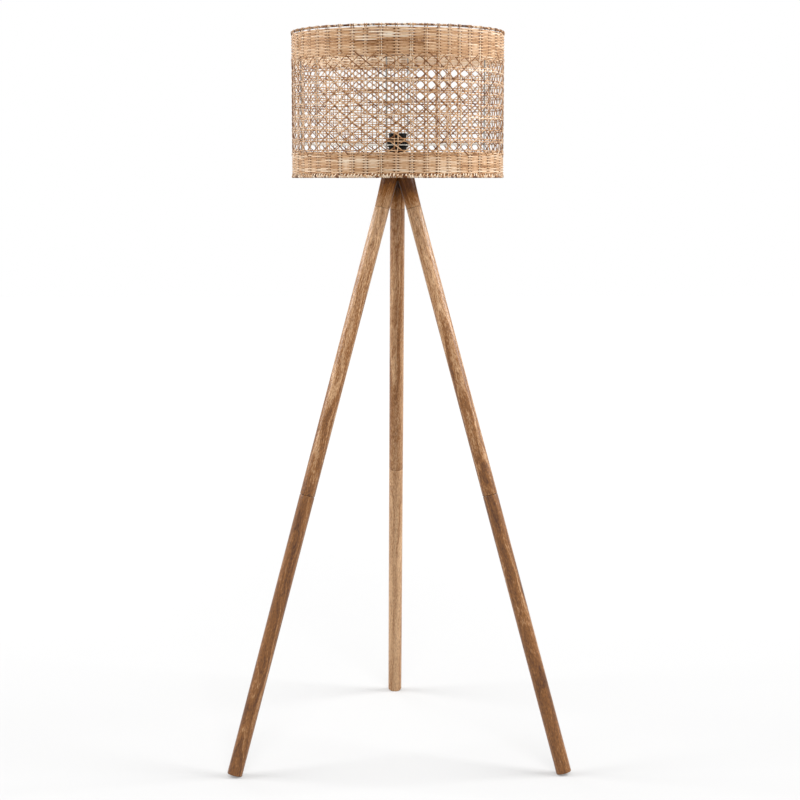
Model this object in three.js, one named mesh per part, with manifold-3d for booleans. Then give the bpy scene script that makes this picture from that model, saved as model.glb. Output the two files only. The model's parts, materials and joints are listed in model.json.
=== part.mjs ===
// A rattan floor lamp: a drum shade of woven cane, clamped on a lampholder, over a wooden hub
// and three round legs. Each leg is two turned lengths that screw end to end.
// Lengths are millimetres and +Z is up. The floor is z = 0, and the origin lies in the middle
// of the rectangle of floor that the lamp covers.

import * as THREE from "three";
import { mergeVertices } from "three/addons/utils/BufferGeometryUtils.js";
import Module from "manifold-3d";

const wasm = await Module();
wasm.setup();

// Driving dimensions. The lamp is built down from the apex, where the three leg axes would meet,
// and up from the hub's top: lampholder, fitter, shade.
const fit = {
  gap: 0.3, // between two pieces that touch
  overrun: 3, // how far a cutting solid runs past what it cuts
};
const tripod = {
  spread: 403, // lamp axis to a leg's axis, at the floor
  apexHeight: 1316, // where the three leg axes would meet
};
const leg = {
  diameter: 32,
  upperLength: 631, // seam under the hub to the seam at mid leg
  endChamfer: 0.8,
  footRound: 2.5,
  footFlat: 0.5, // depth rubbed flat where the foot stands on its inner edge
};
const hub = {
  topBelowApex: 33,
  seamBelowApex: 128, // where a leg's axis crosses the seam under the hub
  stubTopDiameter: 38, // a stub swells from the leg's diameter to this at the top
  crownDiameter: 46, // flat top, inside its bevel
  crownBevel: 8,
  nutSeatBelowTop: 21,
  nutPocketDiameter: 24,
};
const bolt = { diameter: 8, woodLength: 30, threadLength: 22 };
const insert = { diameter: 12, length: 25 };
const nipple = { diameter: 10, bore: 7.4, belowSeat: 10, aboveHub: 9 };
const washer = { diameter: 20, thickness: 1.5 };
const nut = { acrossFlats: 14, thickness: 4 };
const holder = {
  diameter: 38.5,
  wall: 2,
  capHeight: 24,
  capFloor: 3,
  capShoulder: 7, // rise of the rounded lower corner
  capFootDiameter: 27,
  shoulderAboveHub: 37, // top of the shoulder, the fitter's seat
  shoulderDiameter: 44.6,
  shoulderThickness: 3,
  threadHeight: 26, // skirt above its shoulder
};
const core = { diameter: 33.4, floor: 6, wireSpace: 12, wall: 2.2, height: 22 };
const shell = { wall: 0.8, height: 19 };
const contact = { diameter: 7, height: 3 };
const clampRing = { diameter: 46, height: 8.5, runningGap: 0.4 };
const fitter = { diameter: 60, thickness: 1.5, runningGap: 1 };
const shade = {
  diameter: 450, // over the weave
  height: 304,
  fitterRecess: 68, // lower rim to the fitter's seat
  weaveThickness: 3.2,
  topGap: 6, // open slot between the top band and the top ring
  topBandHeight: 52,
  bottomBandHeight: 48,
  ringWire: 3.6,
  uprightWire: 3,
  armWire: 4,
};
const web = { pairWidth: 7.7, cornerCut: 4.4 };
const stakeEnd = { width: 7.7, thickness: 2.2 };

// Counts and angles.
const count = { columns: 44, rows: 7, panelColumns: 4, uprights: 6, arms: 3 };
const sides = { leg: 20, turned: 20, small: 12, wire: 8, ring: 6 };
const degree = Math.PI / 180;
const legAzimuth = { left: 210 * degree, right: 330 * degree, back: 90 * degree };
const firstUpright = 23 * degree;
const armUprights = [1, 3, 5]; // which uprights carry a spider arm

// Finishes.
const finish = {
  wood: new THREE.MeshStandardMaterial({ color: 0x9a6f4a, roughness: 0.55 }),
  darkWood: new THREE.MeshStandardMaterial({ color: 0x6f4a2e, roughness: 0.6 }),
  cane: new THREE.MeshStandardMaterial({ color: 0xc8a27d, roughness: 0.6 }),
  whiteWire: new THREE.MeshStandardMaterial({ color: 0xd8d6d0, roughness: 0.45, metalness: 0.2 }),
  darkWire: new THREE.MeshStandardMaterial({ color: 0x55524e, roughness: 0.5, metalness: 0.6 }),
  zinc: new THREE.MeshStandardMaterial({ color: 0xb9bbbd, roughness: 0.35, metalness: 1 }),
  brass: new THREE.MeshStandardMaterial({ color: 0xc9a45a, roughness: 0.35, metalness: 1 }),
  blackResin: new THREE.MeshStandardMaterial({ color: 0x161616, roughness: 0.4 }),
  porcelain: new THREE.MeshStandardMaterial({ color: 0xe9e6de, roughness: 0.3 }),
};

const lamp = new THREE.Group();

// A mesh that lies in a parent's frame.
function piece(parent, name, geometry, material) {
  const mesh = new THREE.Mesh(geometry, material);
  mesh.name = name;
  parent.add(mesh);
  return mesh;
}

// Keeps only the positions, with the shared vertices merged.
function plain(geometry) {
  const bare = new THREE.BufferGeometry();
  bare.setAttribute("position", geometry.getAttribute("position"));
  bare.setIndex(geometry.index);
  return mergeVertices(bare);
}

function solid(geometry) {
  const bare = plain(geometry);
  return new wasm.Manifold(
    new wasm.Mesh({
      numProp: 3,
      vertProperties: bare.attributes.position.array,
      triVerts: new Uint32Array(bare.index.array),
    }),
  );
}

function geometryOf(body) {
  const mesh = body.getMesh();
  const geometry = new THREE.BufferGeometry();
  geometry.setAttribute("position", new THREE.BufferAttribute(mesh.vertProperties, 3));
  geometry.setIndex(new THREE.BufferAttribute(mesh.triVerts, 1));
  return geometry;
}

// Revolves a profile of [radius, z] points about Z. The points run from the bottom, round the
// outside, to the top, and start and end on the axis, or else the profile closes on itself.
function turned(profile, segments) {
  const points = profile.map(([r, z]) => new THREE.Vector2(r, z));
  return plain(new THREE.LatheGeometry(points, segments)).rotateX(Math.PI / 2);
}

// A ring of rectangular section.
function turnedRing(inner, outer, low, high, segments) {
  return turned([[inner, low], [outer, low], [outer, high], [inner, high], [inner, low]], segments);
}

function turnedRod(radius, low, high, segments) {
  return turned([[0, low], [radius, low], [radius, high], [0, high]], segments);
}

// Distance from the axis to the middle of a facet, on a round of this radius.
function facetRadius(radius, segments) {
  return radius * Math.cos(Math.PI / segments);
}

// Legs. In a leg's own frame +Z runs up its axis and the origin is the apex of the tripod.
const lean = Math.atan2(tripod.spread, tripod.apexHeight);
const legRadius = leg.diameter / 2;
const hubTop = tripod.apexHeight - hub.topBelowApex;
const seamHeight = tripod.apexHeight - hub.seamBelowApex;
const nutSeat = hubTop - hub.nutSeatBelowTop;
const fitterSeat = hubTop + holder.shoulderAboveHub;
const skirtTop = fitterSeat + holder.threadHeight;
const shadeBottom = fitterSeat - shade.fitterRecess;
const shadeTop = shadeBottom + shade.height;
const seam = hub.seamBelowApex / Math.cos(lean);
const midSeam = seam + leg.upperLength;
const footReach = legRadius - leg.footRound;
const footEnd =
  leg.footRound +
  (tripod.apexHeight - footReach * Math.sin(lean) - leg.footRound + leg.footFlat) / Math.cos(lean);

function legFrame(azimuth) {
  const frame = new THREE.Group();
  frame.position.z = tripod.apexHeight;
  frame.rotation.set(0, -lean, azimuth, "ZYX");
  frame.updateMatrix();
  return frame;
}

const boltHole = bolt.diameter / 2 + fit.gap;
const insertHole = insert.diameter / 2 + fit.gap;

// The blind hole in an upper end, for the wood-screw half of a hanger bolt, as it closes a profile.
function topBore(end) {
  const floor = end - bolt.woodLength - fit.gap;
  return [[boltHole, end], [boltHole, floor], [0, floor]];
}

// The blind hole in a lower end, for a threaded insert, as it opens a profile.
function bottomBore(end) {
  const roof = end + insert.length + fit.gap;
  return [[0, roof], [insertHole, roof], [insertHole, end]];
}

function upperLegGeometry() {
  const low = -midSeam + fit.gap / 2;
  const high = -seam - fit.gap / 2;
  const bevel = leg.endChamfer;
  return turned(
    [
      ...bottomBore(low),
      [legRadius - bevel, low],
      [legRadius, low + bevel],
      [legRadius, high - bevel],
      [legRadius - bevel, high],
      ...topBore(high),
    ],
    sides.leg,
  );
}

// The foot is cut square to the leg, rounded over, and stands on its inner edge.
function lowerLegGeometry(frame) {
  const high = -midSeam - fit.gap / 2;
  const bevel = leg.endChamfer;
  const roundOver = [-90, -60, -30, 0].map((angle) => [
    footReach + leg.footRound * Math.cos(angle * degree),
    -footEnd + leg.footRound + leg.footRound * Math.sin(angle * degree),
  ]);
  const blank = turned(
    [[0, -footEnd], ...roundOver, [legRadius, high - bevel], [legRadius - bevel, high], ...topBore(high)],
    sides.leg,
  );
  const ground = new THREE.BoxGeometry(2 * tripod.spread, 2 * tripod.spread, leg.diameter);
  ground.translate(tripod.spread, 0, -leg.diameter / 2);
  ground.rotateZ(frame.rotation.z);
  ground.applyMatrix4(frame.matrix.clone().invert());
  return geometryOf(solid(blank).subtract(solid(ground)));
}

function boltGeometry(end) {
  return turnedRod(
    bolt.diameter / 2,
    -end - fit.gap / 2 - bolt.woodLength,
    -end + fit.gap / 2 + bolt.threadLength,
    sides.small,
  );
}

function insertGeometry(end) {
  const low = -end + fit.gap / 2;
  return turnedRing(boltHole, insert.diameter / 2, low, low + insert.length, sides.small);
}

for (const [side, azimuth] of Object.entries(legAzimuth)) {
  const frame = legFrame(azimuth);
  lamp.add(frame);
  piece(frame, "upper_leg_" + side, upperLegGeometry(), finish.wood);
  piece(frame, "lower_leg_" + side, lowerLegGeometry(frame), finish.wood);
  piece(frame, "upper_leg_bolt_" + side, boltGeometry(seam), finish.zinc);
  piece(frame, "lower_leg_bolt_" + side, boltGeometry(midSeam), finish.zinc);
  piece(frame, "hub_insert_" + side, insertGeometry(seam), finish.brass);
  piece(frame, "mid_leg_insert_" + side, insertGeometry(midSeam), finish.brass);
}

// Hub: three stubs that swell upwards and grow into one another, cut flat on top, bored for the
// nipple, with a pocket from below for its nut.
function hubStub(frame) {
  const low = -seam + fit.gap / 2;
  const bevel = leg.endChamfer;
  const high = -hub.topBelowApex / Math.cos(lean);
  const past = high + (hub.stubTopDiameter / 2) * Math.tan(lean) + fit.overrun;
  const topRadius = hub.stubTopDiameter / 2;
  const stub = turned(
    [
      ...bottomBore(low),
      [legRadius - bevel, low],
      [legRadius, low + bevel],
      [topRadius, high],
      [topRadius, past],
      [0, past],
    ],
    sides.leg,
  );
  return solid(stub.applyMatrix4(frame.matrix));
}

function hubGeometry() {
  const stubs = Object.values(legAzimuth).map((azimuth) => hubStub(legFrame(azimuth)));
  const crown = hub.crownDiameter / 2;
  const below = seamHeight - leg.diameter;
  const wide = tripod.apexHeight - below;
  const envelope = turned(
    [
      [0, below],
      [wide, below],
      [wide, nutSeat],
      [crown + hub.crownBevel, hubTop - hub.crownBevel],
      [crown, hubTop],
      [0, hubTop],
    ],
    sides.turned,
  );
  const bore = turnedRod(nippleHole, below, hubTop + fit.overrun, sides.turned);
  const pocket = turnedRod(hub.nutPocketDiameter / 2, below, nutSeat, sides.turned);
  return geometryOf(
    stubs[0]
      .add(stubs[1])
      .add(stubs[2])
      .intersect(solid(envelope))
      .subtract(solid(bore))
      .subtract(solid(pocket)),
  );
}

const nippleHole = nipple.diameter / 2 + fit.gap;
piece(lamp, "hub", hubGeometry(), finish.darkWood);

// The threaded nipple that draws lampholder and hub together, and leads the cable through.
const washerRadius = washer.diameter / 2;
const lowerWasherTop = nutSeat - fit.gap;
const nutTop = lowerWasherTop - washer.thickness - fit.gap;
const upperWasherLow = hubTop + fit.gap;
const capLow = upperWasherLow + washer.thickness + fit.gap;
piece(
  lamp,
  "threaded_nipple",
  turnedRing(
    nipple.bore / 2,
    nipple.diameter / 2,
    nutSeat - nipple.belowSeat,
    hubTop + nipple.aboveHub,
    sides.turned,
  ),
  finish.zinc,
);
piece(
  lamp,
  "lower_washer",
  turnedRing(nippleHole, washerRadius, lowerWasherTop - washer.thickness, lowerWasherTop, sides.turned),
  finish.zinc,
);
piece(
  lamp,
  "upper_washer",
  turnedRing(nippleHole, washerRadius, upperWasherLow, upperWasherLow + washer.thickness, sides.turned),
  finish.zinc,
);

function nutGeometry() {
  const corner = nut.acrossFlats / 2 / Math.cos(Math.PI / 6);
  const hexagon = turnedRod(corner, nutTop - nut.thickness, nutTop, 6);
  const hole = turnedRod(nippleHole, nutTop - nut.thickness - fit.overrun, nutTop + fit.overrun, sides.turned);
  return geometryOf(solid(hexagon).subtract(solid(hole)));
}

piece(lamp, "nipple_nut", nutGeometry(), finish.zinc);

// Lampholder: a cap below, a threaded skirt with a shoulder above, and between them the
// insulating core that holds the screw shell and the centre contact.
const holderRadius = holder.diameter / 2;
const holderBore = holderRadius - holder.wall;
const capTop = capLow + holder.capHeight;
const skirtLow = capTop + fit.gap;
const shoulderLow = fitterSeat - holder.shoulderThickness;
const shoulderRadius = holder.shoulderDiameter / 2;
piece(
  lamp,
  "lampholder_cap",
  turned(
    [
      [nippleHole, capLow],
      [holder.capFootDiameter / 2, capLow],
      [holderRadius, capLow + holder.capShoulder],
      [holderRadius, capTop],
      [holderBore, capTop],
      [holderBore, capLow + holder.capShoulder],
      [holder.capFootDiameter / 2 - holder.wall, capLow + holder.capFloor],
      [nippleHole, capLow + holder.capFloor],
      [nippleHole, capLow],
    ],
    sides.turned,
  ),
  finish.blackResin,
);
piece(
  lamp,
  "lampholder_skirt",
  turned(
    [
      [holderBore, skirtLow],
      [holderRadius, skirtLow],
      [holderRadius, shoulderLow],
      [shoulderRadius, shoulderLow],
      [shoulderRadius, fitterSeat],
      [holderRadius, fitterSeat],
      [holderRadius, skirtTop],
      [holderBore, skirtTop],
      [holderBore, skirtLow],
    ],
    sides.turned,
  ),
  finish.blackResin,
);

const coreRadius = core.diameter / 2;
const corePocket = coreRadius - core.wall;
const coreLow = capLow + core.wireSpace;
const pocketFloor = coreLow + core.floor;
piece(
  lamp,
  "lampholder_core",
  turned(
    [
      [0, coreLow],
      [coreRadius, coreLow],
      [coreRadius, pocketFloor + core.height],
      [corePocket, pocketFloor + core.height],
      [corePocket, pocketFloor],
      [0, pocketFloor],
    ],
    sides.turned,
  ),
  finish.porcelain,
);
const shellRadius = corePocket - fit.gap;
const shellLow = pocketFloor + fit.gap;
piece(
  lamp,
  "socket_shell",
  turnedRing(shellRadius - shell.wall, shellRadius, shellLow, shellLow + shell.height, sides.turned),
  finish.brass,
);
piece(
  lamp,
  "centre_contact",
  turnedRod(contact.diameter / 2, shellLow, shellLow + contact.height, sides.small),
  finish.brass,
);

// The clamp ring screws down the skirt and presses the shade's fitter on the shoulder.
const fitterLow = fitterSeat + fit.gap;
const clampLow = fitterLow + fitter.thickness + fit.gap;
piece(
  lamp,
  "clamp_ring",
  turnedRing(
    holderRadius + clampRing.runningGap,
    clampRing.diameter / 2,
    clampLow,
    clampLow + clampRing.height,
    sides.turned,
  ),
  finish.blackResin,
);

// Shade frame: a fitter ring on three arms, six upright wires, and a wire ring at each rim.
const weaveOuter = shade.diameter / 2;
const weaveInner = weaveOuter - shade.weaveThickness;
const ringRadius = shade.ringWire / 2;
const ringCentre = weaveOuter - ringRadius;
const uprightRadius = shade.uprightWire / 2;
const innerEdge = Math.min(weaveInner, ringCentre - ringRadius);
const uprightCentre = facetRadius(innerEdge, count.columns) - fit.gap - uprightRadius;

piece(
  lamp,
  "fitter_ring",
  turnedRing(
    holderRadius + fitter.runningGap,
    fitter.diameter / 2,
    fitterLow,
    fitterLow + fitter.thickness,
    sides.turned,
  ),
  finish.whiteWire,
);

function wireRing(height) {
  const section = [];
  for (let step = 0; step <= sides.ring; step++) {
    const angle = (step / sides.ring) * 2 * Math.PI - Math.PI / 2;
    section.push([ringCentre + ringRadius * Math.cos(angle), height + ringRadius * Math.sin(angle)]);
  }
  return turned(section, count.columns);
}

piece(lamp, "top_ring", wireRing(shadeTop - ringRadius), finish.whiteWire);
piece(lamp, "bottom_ring", wireRing(shadeBottom + ringRadius), finish.whiteWire);

const uprightHeight = shade.height - shade.ringWire;
for (let index = 0; index < count.uprights; index++) {
  const azimuth = firstUpright + (index / count.uprights) * 2 * Math.PI;
  const spoke = new THREE.Group();
  spoke.rotation.z = azimuth;
  lamp.add(spoke);
  const low = shadeBottom + ringRadius;
  const wire = turnedRod(uprightRadius, low, low + uprightHeight, sides.wire);
  wire.translate(uprightCentre, 0, 0);
  piece(spoke, "frame_upright_" + (index + 1), wire, finish.darkWire);
  const arm = armUprights.indexOf(index);
  if (arm >= 0) {
    const start = fitter.diameter / 2 + fit.gap;
    const stop = uprightCentre - uprightRadius - fit.gap;
    const rod = turnedRod(shade.armWire / 2, start, stop, sides.wire);
    rod.rotateY(Math.PI / 2);
    rod.translate(0, 0, fitterLow + fitter.thickness / 2);
    piece(spoke, "spider_arm_" + (arm + 1), rod, finish.whiteWire);
  }
}

// Woven bands. Pairs of stake ends stand up from the top band and carry the top ring.
const topBandHigh = shadeTop - shade.ringWire - shade.topGap;
const topBandLow = topBandHigh - shade.topBandHeight;
const bottomBandLow = shadeBottom + shade.ringWire + fit.gap;
const bottomBandHigh = bottomBandLow + shade.bottomBandHeight;

function topBandGeometry() {
  const band = turnedRing(weaveInner, weaveOuter, topBandLow, topBandHigh, count.columns);
  const rise = shade.topGap - fit.gap;
  const root = shade.topGap;
  let body = solid(band);
  for (let index = 0; index < count.columns; index++) {
    const stake = new THREE.BoxGeometry(stakeEnd.thickness, stakeEnd.width, rise + root);
    stake.translate((weaveInner + weaveOuter) / 2, 0, topBandHigh + (rise - root) / 2);
    stake.rotateZ((index / count.columns) * 2 * Math.PI);
    body = body.add(solid(stake));
  }
  return geometryOf(body);
}

piece(lamp, "top_band", topBandGeometry(), finish.cane);
piece(
  lamp,
  "bottom_band",
  turnedRing(weaveInner, weaveOuter, bottomBandLow, bottomBandHigh, count.columns),
  finish.cane,
);

// Open cane web between the bands, in panels of four columns that part between two stakes.
// One mesh of the web is a frame round an eight-sided gap: thick along the cell's edges, where
// the paired strands run, and thin at the gap, as split cane is.
const webLow = bottomBandHigh + fit.gap;
const webHigh = topBandLow - fit.gap;
const rowHeight = (webHigh - webLow) / count.rows;

function onDrum(radius, angle, height) {
  return [radius * Math.cos(angle), radius * Math.sin(angle), height];
}

// The gap's eight corners, anticlockwise from outside, as offsets from the cell's middle.
function gapCorners(halfWidth, halfHeight) {
  const cut = web.cornerCut;
  const quarter = [
    [halfWidth, halfHeight - cut],
    [halfWidth - cut, halfHeight],
  ];
  const mirrored = quarter.map(([u, v]) => [-u, v]).reverse();
  const upper = [...quarter, ...mirrored];
  return [...upper, ...upper.map(([u, v]) => [-u, -v])];
}

function cellFaces(left, right, low, high) {
  const middle = (left + right) / 2;
  const height = (low + high) / 2;
  const halfWidth = ((right - left) * weaveOuter - web.pairWidth) / 2;
  const halfHeight = (high - low - web.pairWidth) / 2;
  const rim = gapCorners(halfWidth, halfHeight).map(([u, v]) =>
    onDrum(weaveInner, middle + u / weaveOuter, height + v),
  );
  const corners = [[right, high], [left, high], [left, low], [right, low]];
  const outer = corners.map(([angle, z]) => onDrum(weaveOuter, angle, z));
  const inner = corners.map(([angle, z]) => onDrum(weaveInner, angle, z));
  const faces = [];
  for (let side = 0; side < 4; side++) {
    const next = (side + 1) % 4;
    const [a, b, c] = [rim[2 * side], rim[2 * side + 1], rim[(2 * side + 2) % 8]];
    faces.push([outer[side], b, a], [outer[side], outer[next], c], [outer[side], c, b]);
    faces.push([inner[side], a, b], [inner[side], c, inner[next]], [inner[side], b, c]);
  }
  return { faces, outer, inner };
}

function webPanelGeometry(start, stop) {
  const faces = [];
  const edge = (cell, from, to) => {
    faces.push([cell.outer[from], cell.inner[from], cell.inner[to]]);
    faces.push([cell.outer[from], cell.inner[to], cell.outer[to]]);
  };
  for (let column = 0; column < count.panelColumns; column++) {
    const left = THREE.MathUtils.lerp(start, stop, column / count.panelColumns);
    const right = THREE.MathUtils.lerp(start, stop, (column + 1) / count.panelColumns);
    for (let row = 0; row < count.rows; row++) {
      const low = webLow + row * rowHeight;
      const cell = cellFaces(left, right, low, low + rowHeight);
      faces.push(...cell.faces);
      if (row === count.rows - 1) edge(cell, 0, 1);
      if (column === 0) edge(cell, 1, 2);
      if (row === 0) edge(cell, 2, 3);
      if (column === count.panelColumns - 1) edge(cell, 3, 0);
    }
  }
  const positions = new Float32Array(faces.flat(2));
  const geometry = new THREE.BufferGeometry();
  geometry.setAttribute("position", new THREE.BufferAttribute(positions, 3));
  return mergeVertices(geometry, fit.gap / 10);
}

const panels = count.columns / count.panelColumns;
const panelGap = fit.gap / 2 / weaveInner;
for (let index = 0; index < panels; index++) {
  const start = (index / panels) * 2 * Math.PI + panelGap;
  const stop = ((index + 1) / panels) * 2 * Math.PI - panelGap;
  const name = "cane_web_" + String(index + 1).padStart(2, "0");
  piece(lamp, name, webPanelGeometry(start, stop), finish.cane);
}

// Centre the lamp's plan on the origin.
const plan = new THREE.Box3().setFromObject(lamp, true).getCenter(new THREE.Vector3());
lamp.position.set(-plan.x, -plan.y, 0);

export default lamp;
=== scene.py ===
"""Looks of a rattan floor lamp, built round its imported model: a drum shade of woven cane over a
wooden hub and three turned legs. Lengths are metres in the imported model's frame, and +Z is up."""

import functools
import json
import math

import bpy
import numpy as np
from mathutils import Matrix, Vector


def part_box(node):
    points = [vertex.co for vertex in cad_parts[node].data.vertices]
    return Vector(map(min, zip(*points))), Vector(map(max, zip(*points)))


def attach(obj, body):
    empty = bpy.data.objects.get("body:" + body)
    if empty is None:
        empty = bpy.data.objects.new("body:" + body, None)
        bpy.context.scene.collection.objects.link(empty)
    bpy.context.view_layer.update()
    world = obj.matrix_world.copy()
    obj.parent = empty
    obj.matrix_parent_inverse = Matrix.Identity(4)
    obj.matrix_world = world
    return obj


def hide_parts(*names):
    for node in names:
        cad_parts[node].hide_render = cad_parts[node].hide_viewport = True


bl_info = {
    "name": "Rattan floor lamp",
    "version": (1, 0, 0),
    "blender": (4, 5, 0),
    "location": "View3D > Sidebar > Lamp",
    "description": "Woven cane shade, wooden tripod and lampholder round a packed model",
    "category": "Add Mesh",
}

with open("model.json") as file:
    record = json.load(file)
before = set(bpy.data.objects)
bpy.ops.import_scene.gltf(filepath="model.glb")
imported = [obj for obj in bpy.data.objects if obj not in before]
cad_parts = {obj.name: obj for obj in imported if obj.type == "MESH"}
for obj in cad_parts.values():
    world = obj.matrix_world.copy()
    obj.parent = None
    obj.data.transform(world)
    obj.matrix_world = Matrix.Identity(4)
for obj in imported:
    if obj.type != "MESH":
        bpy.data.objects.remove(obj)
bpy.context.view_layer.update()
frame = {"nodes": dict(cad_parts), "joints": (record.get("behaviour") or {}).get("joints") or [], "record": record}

MM = 0.001
TURN = 2 * math.pi
JOINTS = {joint["name"]: joint for joint in frame["joints"]}
BODY_OF = {
    node: body
    for body, nodes in frame["record"]["behaviour"]["bodies"].items()
    for node in nodes
}
SIDES = ("left", "right", "back")
AXIS = np.array(JOINTS["shade_turn"]["pos_m"][:2])
UP = np.array([0.0, 0.0, 1.0])


def ends(node):
    """The lowest and the highest z of a CAD node."""
    low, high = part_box(node)
    return low.z, high.z


def outer_radius(node):
    """Half of a CAD node's width along x."""
    low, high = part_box(node)
    return (high.x - low.x) / 2


WEBS = sorted(node for node in frame["nodes"] if node.startswith("cane_web_"))
WEB_LOW = min(ends(node)[0] for node in WEBS)
WEB_HIGH = max(ends(node)[1] for node in WEBS)
WEAVE_RADIUS = outer_radius("bottom_band") - 1.6 * MM
WIRE_LOW, WIRE_HIGH = ends("top_ring")
WIRE_RADIUS = (WIRE_HIGH - WIRE_LOW) / 2
# How far the rims' wire stands out from the middle of the weave.
WIRE_OFFSET = outer_radius("top_ring") - WIRE_RADIUS - WEAVE_RADIUS
TOP_BAND_LOW = ends("top_band")[0]
TOP_BAND_HIGH = TOP_BAND_LOW + 52 * MM
BOTTOM_BAND_LOW, BOTTOM_BAND_HIGH = ends("bottom_band")

# Radii in millimetres, as the outlines take them. A solid turned piece stops just short of its
# axis, where a small fan closes it.
PIN = 0.5
LEG = 16
NIPPLE_HOLE = 5.3
HOLDER = 19.25
HOLDER_INSIDE = 17.25


def colour(text):
    """The linear RGBA of an sRGB hex colour, by the sRGB curve."""
    values = [int(text[i : i + 2], 16) / 255 for i in (1, 3, 5)]
    linear = [v / 12.92 if v <= 0.04045 else ((v + 0.055) / 1.055) ** 2.4 for v in values]
    return (*linear, 1.0)


# Settings that a user would change.


def length(name, description, default):
    return bpy.props.FloatProperty(
        name=name, description=description, default=default, min=0, precision=5,
        subtype="DISTANCE", unit="LENGTH",
    )


def number(name, description, default, low, high):
    return bpy.props.IntProperty(
        name=name, description=description, default=default, min=low, max=high
    )


def paint(name, description, default):
    return bpy.props.FloatVectorProperty(
        name=name, description=description, default=colour(default), size=4, min=0, max=1,
        subtype="COLOR",
    )


class LampShadeSettings(bpy.types.PropertyGroup):
    columns: number("Stake pairs", "Pairs of upright stakes round the drum", 48, 12, 96)
    rows: number("Web rows", "Rows of eight-sided gaps between the bands", 8, 2, 20)
    weavers: number("Weavers", "Rows of close weaving in each band", 18, 4, 40)
    stake_gap: length("Stake spacing", "Between the middles of the stakes of a pair", 7.2 * MM)
    row_gap: length("Row spacing", "Between the middles of the strands of a web row", 5.0 * MM)
    band_gap: length("Stake spacing in bands", "The same where the weavers pinch it", 3.2 * MM)
    strand_width: length("Strand width", "Width of the split cane in the web", 2.3 * MM)
    strand_thickness: length("Strand thickness", "Thickness of the split cane", 0.9 * MM)
    seed: number("Seed", "Picks the hand-made unevenness of the weaving", 7, 0, 9999)
    # The dark cane colour is also the painted shade along every strand's edges.
    dark: paint("Dark cane", "Darkest strands and cut edges", "#6b3e1b")
    tan: paint("Tan cane", "Most strands", "#cba279")
    pale: paint("Pale cane", "Palest strands, where the skin has been peeled", "#f0dfc6")


class LampWoodSettings(bpy.types.PropertyGroup):
    sides: number("Faces round", "Faces round a leg or a hub stub", 96, 24, 256)
    pore: length("Pore length", "Length of the short dark pores along the grain", 5 * MM)
    ring: length("Growth ring", "Mean width of a growth ring", 4 * MM)
    dark: paint("Dark grain", "Late wood and pores", "#4a280e")
    mid: paint("Middle grain", "Most of the heartwood", "#855526")
    pale: paint("Pale grain", "Early wood and sapwood streaks", "#deb68c")


class LampHolderSettings(bpy.types.PropertyGroup):
    thread_pitch: length("Thread pitch", "Pitch of the skirt's outer thread", 2.6 * MM)
    shell_pitch: length("Shell pitch", "Pitch of the screw shell's round thread", 3.6 * MM)
    flutes: number("Flutes", "Grip flutes round the clamp ring", 30, 8, 60)


class LampFinishSettings(bpy.types.PropertyGroup):
    white_wire: paint("White wire", "Lacquer of the rims, the arms and the fitter", "#e4e1d8")
    dark_wire: paint("Bare wire", "Drawn steel of the uprights", "#918b84")
    zinc_steel: paint("Zinc", "Plating of the bolts, washers, nut and nipple", "#b9bbbd")
    brass: paint("Brass", "Inserts, screw shell and contact", "#caa55c")
    black_resin: paint("Resin", "The lampholder's moulded resin", "#060606")
    porcelain: paint("Porcelain", "Glaze of the lampholder's core", "#e9e6de")


class LampStageSettings(bpy.types.PropertyGroup):
    lens: bpy.props.FloatProperty(
        name="Lens", description="Focal length on a 36 mm sensor", default=75.97, min=10,
        subtype="DISTANCE_CAMERA",
    )
    position: bpy.props.FloatVectorProperty(
        name="Camera", description="Where the camera stands", subtype="XYZ",
        default=(-0.0671, -3.72996, 1.2539),
    )
    heading: bpy.props.FloatProperty(
        name="Heading", description="Camera's turn from +Y towards +X", subtype="ANGLE",
        default=math.radians(1.133),
    )
    dip: bpy.props.FloatProperty(
        name="Dip", description="Camera's tilt below the horizon", subtype="ANGLE",
        default=math.radians(7.527),
    )
    ambient: bpy.props.FloatProperty(
        name="Ambient", description="Strength of the even light from all round", default=0.6,
        min=0, max=2,
    )


# Shapes. A skin is an array of points (strands, stations, corners, 3): each strand is a tube
# whose section has that many corners, carried through its stations.

FLAT_SECTION = np.array(
    [[1, 0], [0.62, 0.85], [-0.62, 0.85], [-1, 0], [-0.62, -0.85], [0.62, -0.85]]
)


def unit(vectors):
    """Vectors over their own lengths."""
    return vectors / np.linalg.norm(vectors, axis=-1, keepdims=True)


def grown(values, span):
    """0 up to 0, then a straight line to 1 at the span, and 1 beyond it."""
    return np.clip(values / span, 0, 1)


def within(values, low, high):
    """How far inside a low and a high end the values lie."""
    return np.minimum(values - low, high - values)


def bell(values, spread):
    """exp(-(values / spread)^2)."""
    return np.exp(-((values / spread) ** 2))


def round_section(corners):
    """A circle's points at even angles, anticlockwise from +X."""
    angle = np.arange(corners) / corners * TURN
    return np.stack([np.cos(angle), np.sin(angle)], 1)


def swept(paths, outward, half_width, half_thickness, section=FLAT_SECTION, closed=False):
    """Carries a section along each path. The tangent is the central difference along the path,
    outward is made square to it, across is their cross product, and each point is the path's
    point + across * half width * section x + outward * half thickness * section y."""
    if closed:
        tangent = np.roll(paths, -1, 1) - np.roll(paths, 1, 1)
    else:
        tangent = np.gradient(paths, axis=1)
    tangent = unit(tangent)
    outward = unit(outward - (outward * tangent).sum(-1, keepdims=True) * tangent)
    across = np.cross(tangent, outward)
    shape = paths.shape[:2]
    width = np.broadcast_to(half_width, shape)[..., None, None] * section[:, 0, None]
    thickness = np.broadcast_to(half_thickness, shape)[..., None, None] * section[:, 1, None]
    return paths[:, :, None] + across[:, :, None] * width + outward[:, :, None] * thickness


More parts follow.
